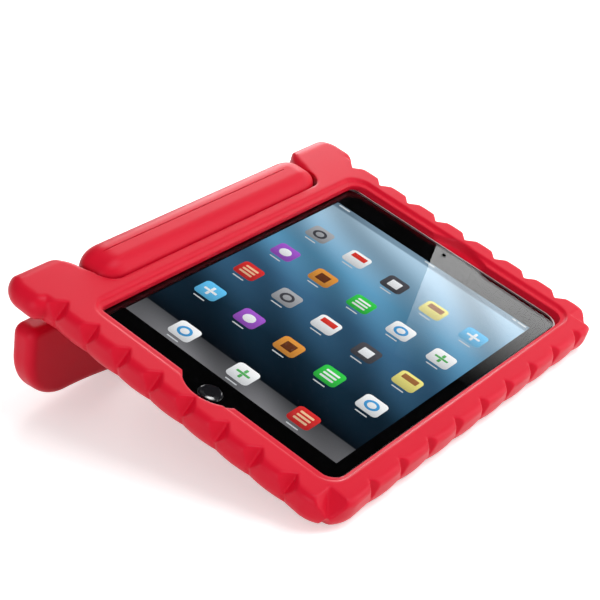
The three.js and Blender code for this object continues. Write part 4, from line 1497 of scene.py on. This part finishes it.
@dataclass
class Studio:
    """The camera at the photograph's angle, soft lights and a pale floor. Sizes are in metres.

    Attributes:
        eye: Where the camera is.
        look: The way that it looks.
        lens: Its lens in millimetres.
        sensor: Width of its sensor in millimetres.
        near: The nearest that it sees.
        middle: The point that the lamps face.
        floor_half: Half of the floor's side.
        floor_drop: How far it lies under the object.
        floor_glow: Its own light where the camera or a mirror sees it.
        room: Strength of the even light of the room.
        horizon: Height in the sky, from 0 to 1, up to which it is mirrored white.
        overhead: Height from which it is mirrored dark.
        mirrored_sky: Strength of the dark part.
        panel_start: The panel's corner where it is brightest.
        panel_end: The same side's far corner, where it has faded out.
        panel_wide: From that side to the other.
        panel_full: How far it keeps its full strength.
        panel_power: That strength.
    """

    eye: tuple[float, float, float] = (-0.5444, -0.3969, 0.3469)
    look: tuple[float, float, float] = (0.7288, 0.5443, -0.4155)
    lens: float = 96.32
    sensor: float = 36.0
    near: float = 0.01
    middle: Vector = placed((0.0, 0.0, 0.03))
    floor_half: float = 6.0
    floor_drop: float = 0.0002
    floor_glow: float = 0.45
    room: float = 0.44
    horizon: float = 0.1
    overhead: float = 0.4
    mirrored_sky: float = 0.015
    panel_start: Vector = placed((1.1306, 0.2692, 0.5967))
    panel_end: Vector = placed((0.9557, 0.1061, 0.8522))
    panel_wide: Vector = placed((0.3319, -0.7893, -0.2768))
    panel_full: float = 0.22
    panel_power: float = 3.2

    def camera(self) -> None:
        """Set the camera."""
        data = bpy.data.cameras.new("camera")
        data.lens = self.lens
        data.sensor_width = self.sensor
        data.clip_start = self.near
        made = bpy.data.objects.new("camera", data)
        made.location = self.eye
        made.rotation_euler = facing(self.look)
        bpy.context.scene.collection.objects.link(made)
        bpy.context.scene.camera = made

    def lamp(self, name: str, place: Sequence[float], side: float, power: float) -> None:
        """Add a soft square lamp.

        Args:
            name: Its name.
            place: Its place.
            side: Its side.
            power: Its power in watts.
        """
        data = bpy.data.lights.new(name, "AREA")
        data.shape = "RECTANGLE"
        data.size = data.size_y = side
        data.energy = power
        made = bpy.data.objects.new(name, data)
        made.location = place
        made.rotation_euler = facing(self.middle - Vector(place))
        bpy.context.scene.collection.objects.link(made)

    def floor(self) -> None:
        """Lay the floor."""
        bm = bmesh.new()
        bmesh.ops.create_grid(bm, x_segments=1, y_segments=1, size=self.floor_half)
        made = piece("floor", bm, Matrix.Translation((0, 0, -self.floor_drop)), smooth=False)
        material, nodes, shader = shaded(
            "pale_floor", Base_Color=(0.9, 0.9, 0.9), Roughness=0.9, Specular_IOR_Level=0.1,
            Emission_Color=(1, 1, 1),
        )
        path = nodes.add("LightPath").outputs
        seen = nodes.math("MAXIMUM", path["Is Camera Ray"], path["Is Glossy Ray"])
        seen = nodes.math("MAXIMUM", seen, path["Is Transmission Ray"])
        nodes.feed(nodes.math("MULTIPLY", seen, self.floor_glow), shader.inputs["Emission Strength"])
        dress(made, material)

    def panel(self) -> None:
        """Hang the soft panel that the glass mirrors, fading out towards its far end."""
        out = (self.panel_end - self.panel_start).normalized()
        wide = self.panel_wide.normalized()
        length = (self.panel_end - self.panel_start).length
        bm = bmesh.new()
        bmesh.ops.create_grid(bm, x_segments=1, y_segments=1, size=0.5)
        turn = Matrix((out, wide, out.cross(wide))).transposed().to_4x4()
        middle = (self.panel_start + self.panel_end + self.panel_wide) / 2
        spread = Matrix.Diagonal((length, self.panel_wide.length, 1, 1))
        made = piece("soft_panel", bm, Matrix.Translation(middle) @ turn @ spread, smooth=False)
        material, nodes, shader = shaded("panel_light", Base_Color=(0, 0, 0), Emission_Color=(1, 1, 1))
        along = nodes.add("VectorMath", operation="DOT_PRODUCT")
        nodes.feed(nodes.add("TexCoord").outputs["Object"], along.inputs[0])
        nodes.feed(out, along.inputs[1])
        start = self.panel_start.dot(out)
        fade = nodes.add(
            "MapRange", interpolation_type="SMOOTHSTEP", in_Value=along.outputs["Value"],
            in_From_Min=start + self.panel_full, in_From_Max=start + length,
            in_To_Min=self.panel_power, in_To_Max=0.0,
        )
        nodes.feed(fade.outputs["Result"], shader.inputs["Emission Strength"])
        dress(made, material)
        made.visible_camera = False
        made.visible_shadow = False

    def world(self) -> None:
        """Light the room evenly, white where the camera looks and dark overhead for what is mirrored."""
        world = bpy.data.worlds.new("studio")
        bpy.context.scene.world = world
        world.use_nodes = True
        nodes = Nodes(world.node_tree)
        background = world.node_tree.nodes["Background"]
        nodes.feed((1, 1, 1), background.inputs["Color"])
        path = nodes.add("LightPath").outputs
        apart = nodes.add("SeparateXYZ", in_Vector=nodes.add("TexCoord").outputs["Generated"])
        height = nodes.add(
            "MapRange", interpolation_type="SMOOTHSTEP", in_Value=apart.outputs["Z"],
            in_From_Min=self.horizon, in_From_Max=self.overhead, in_To_Min=1.0, in_To_Max=self.mirrored_sky,
        )
        direct = path["Is Camera Ray"]
        shiny = nodes.math("MAXIMUM", path["Is Glossy Ray"], path["Is Transmission Ray"])
        mirrored = nodes.math("MULTIPLY", shiny, height.outputs["Result"])
        rest = nodes.math("SUBTRACT", nodes.math("SUBTRACT", 1.0, direct), shiny, clamp=True)
        even = nodes.math("MULTIPLY", rest, self.room)
        total = nodes.math("ADD", nodes.math("ADD", direct, mirrored), even)
        nodes.feed(total, background.inputs["Strength"])

    def build(self) -> None:
        """Set up the camera, the lights, the floor and the room."""
        self.camera()
        self.floor()
        self.world()
        self.panel()
        for lamp in LAMPS:
            self.lamp(*lamp)


def main() -> None:
    """Build every sub-assembly, and dress it."""
    logging.basicConfig(level=logging.INFO, format="%(name)s %(message)s")
    scene = bpy.context.scene
    scene.view_settings.view_transform = "Standard"
    place = case_frame()
    Studio().build()
    CaseBody(place).build()
    SwivelHandle(place).build()
    Tablet(place).build()


if __name__ == "__main__":
    main()
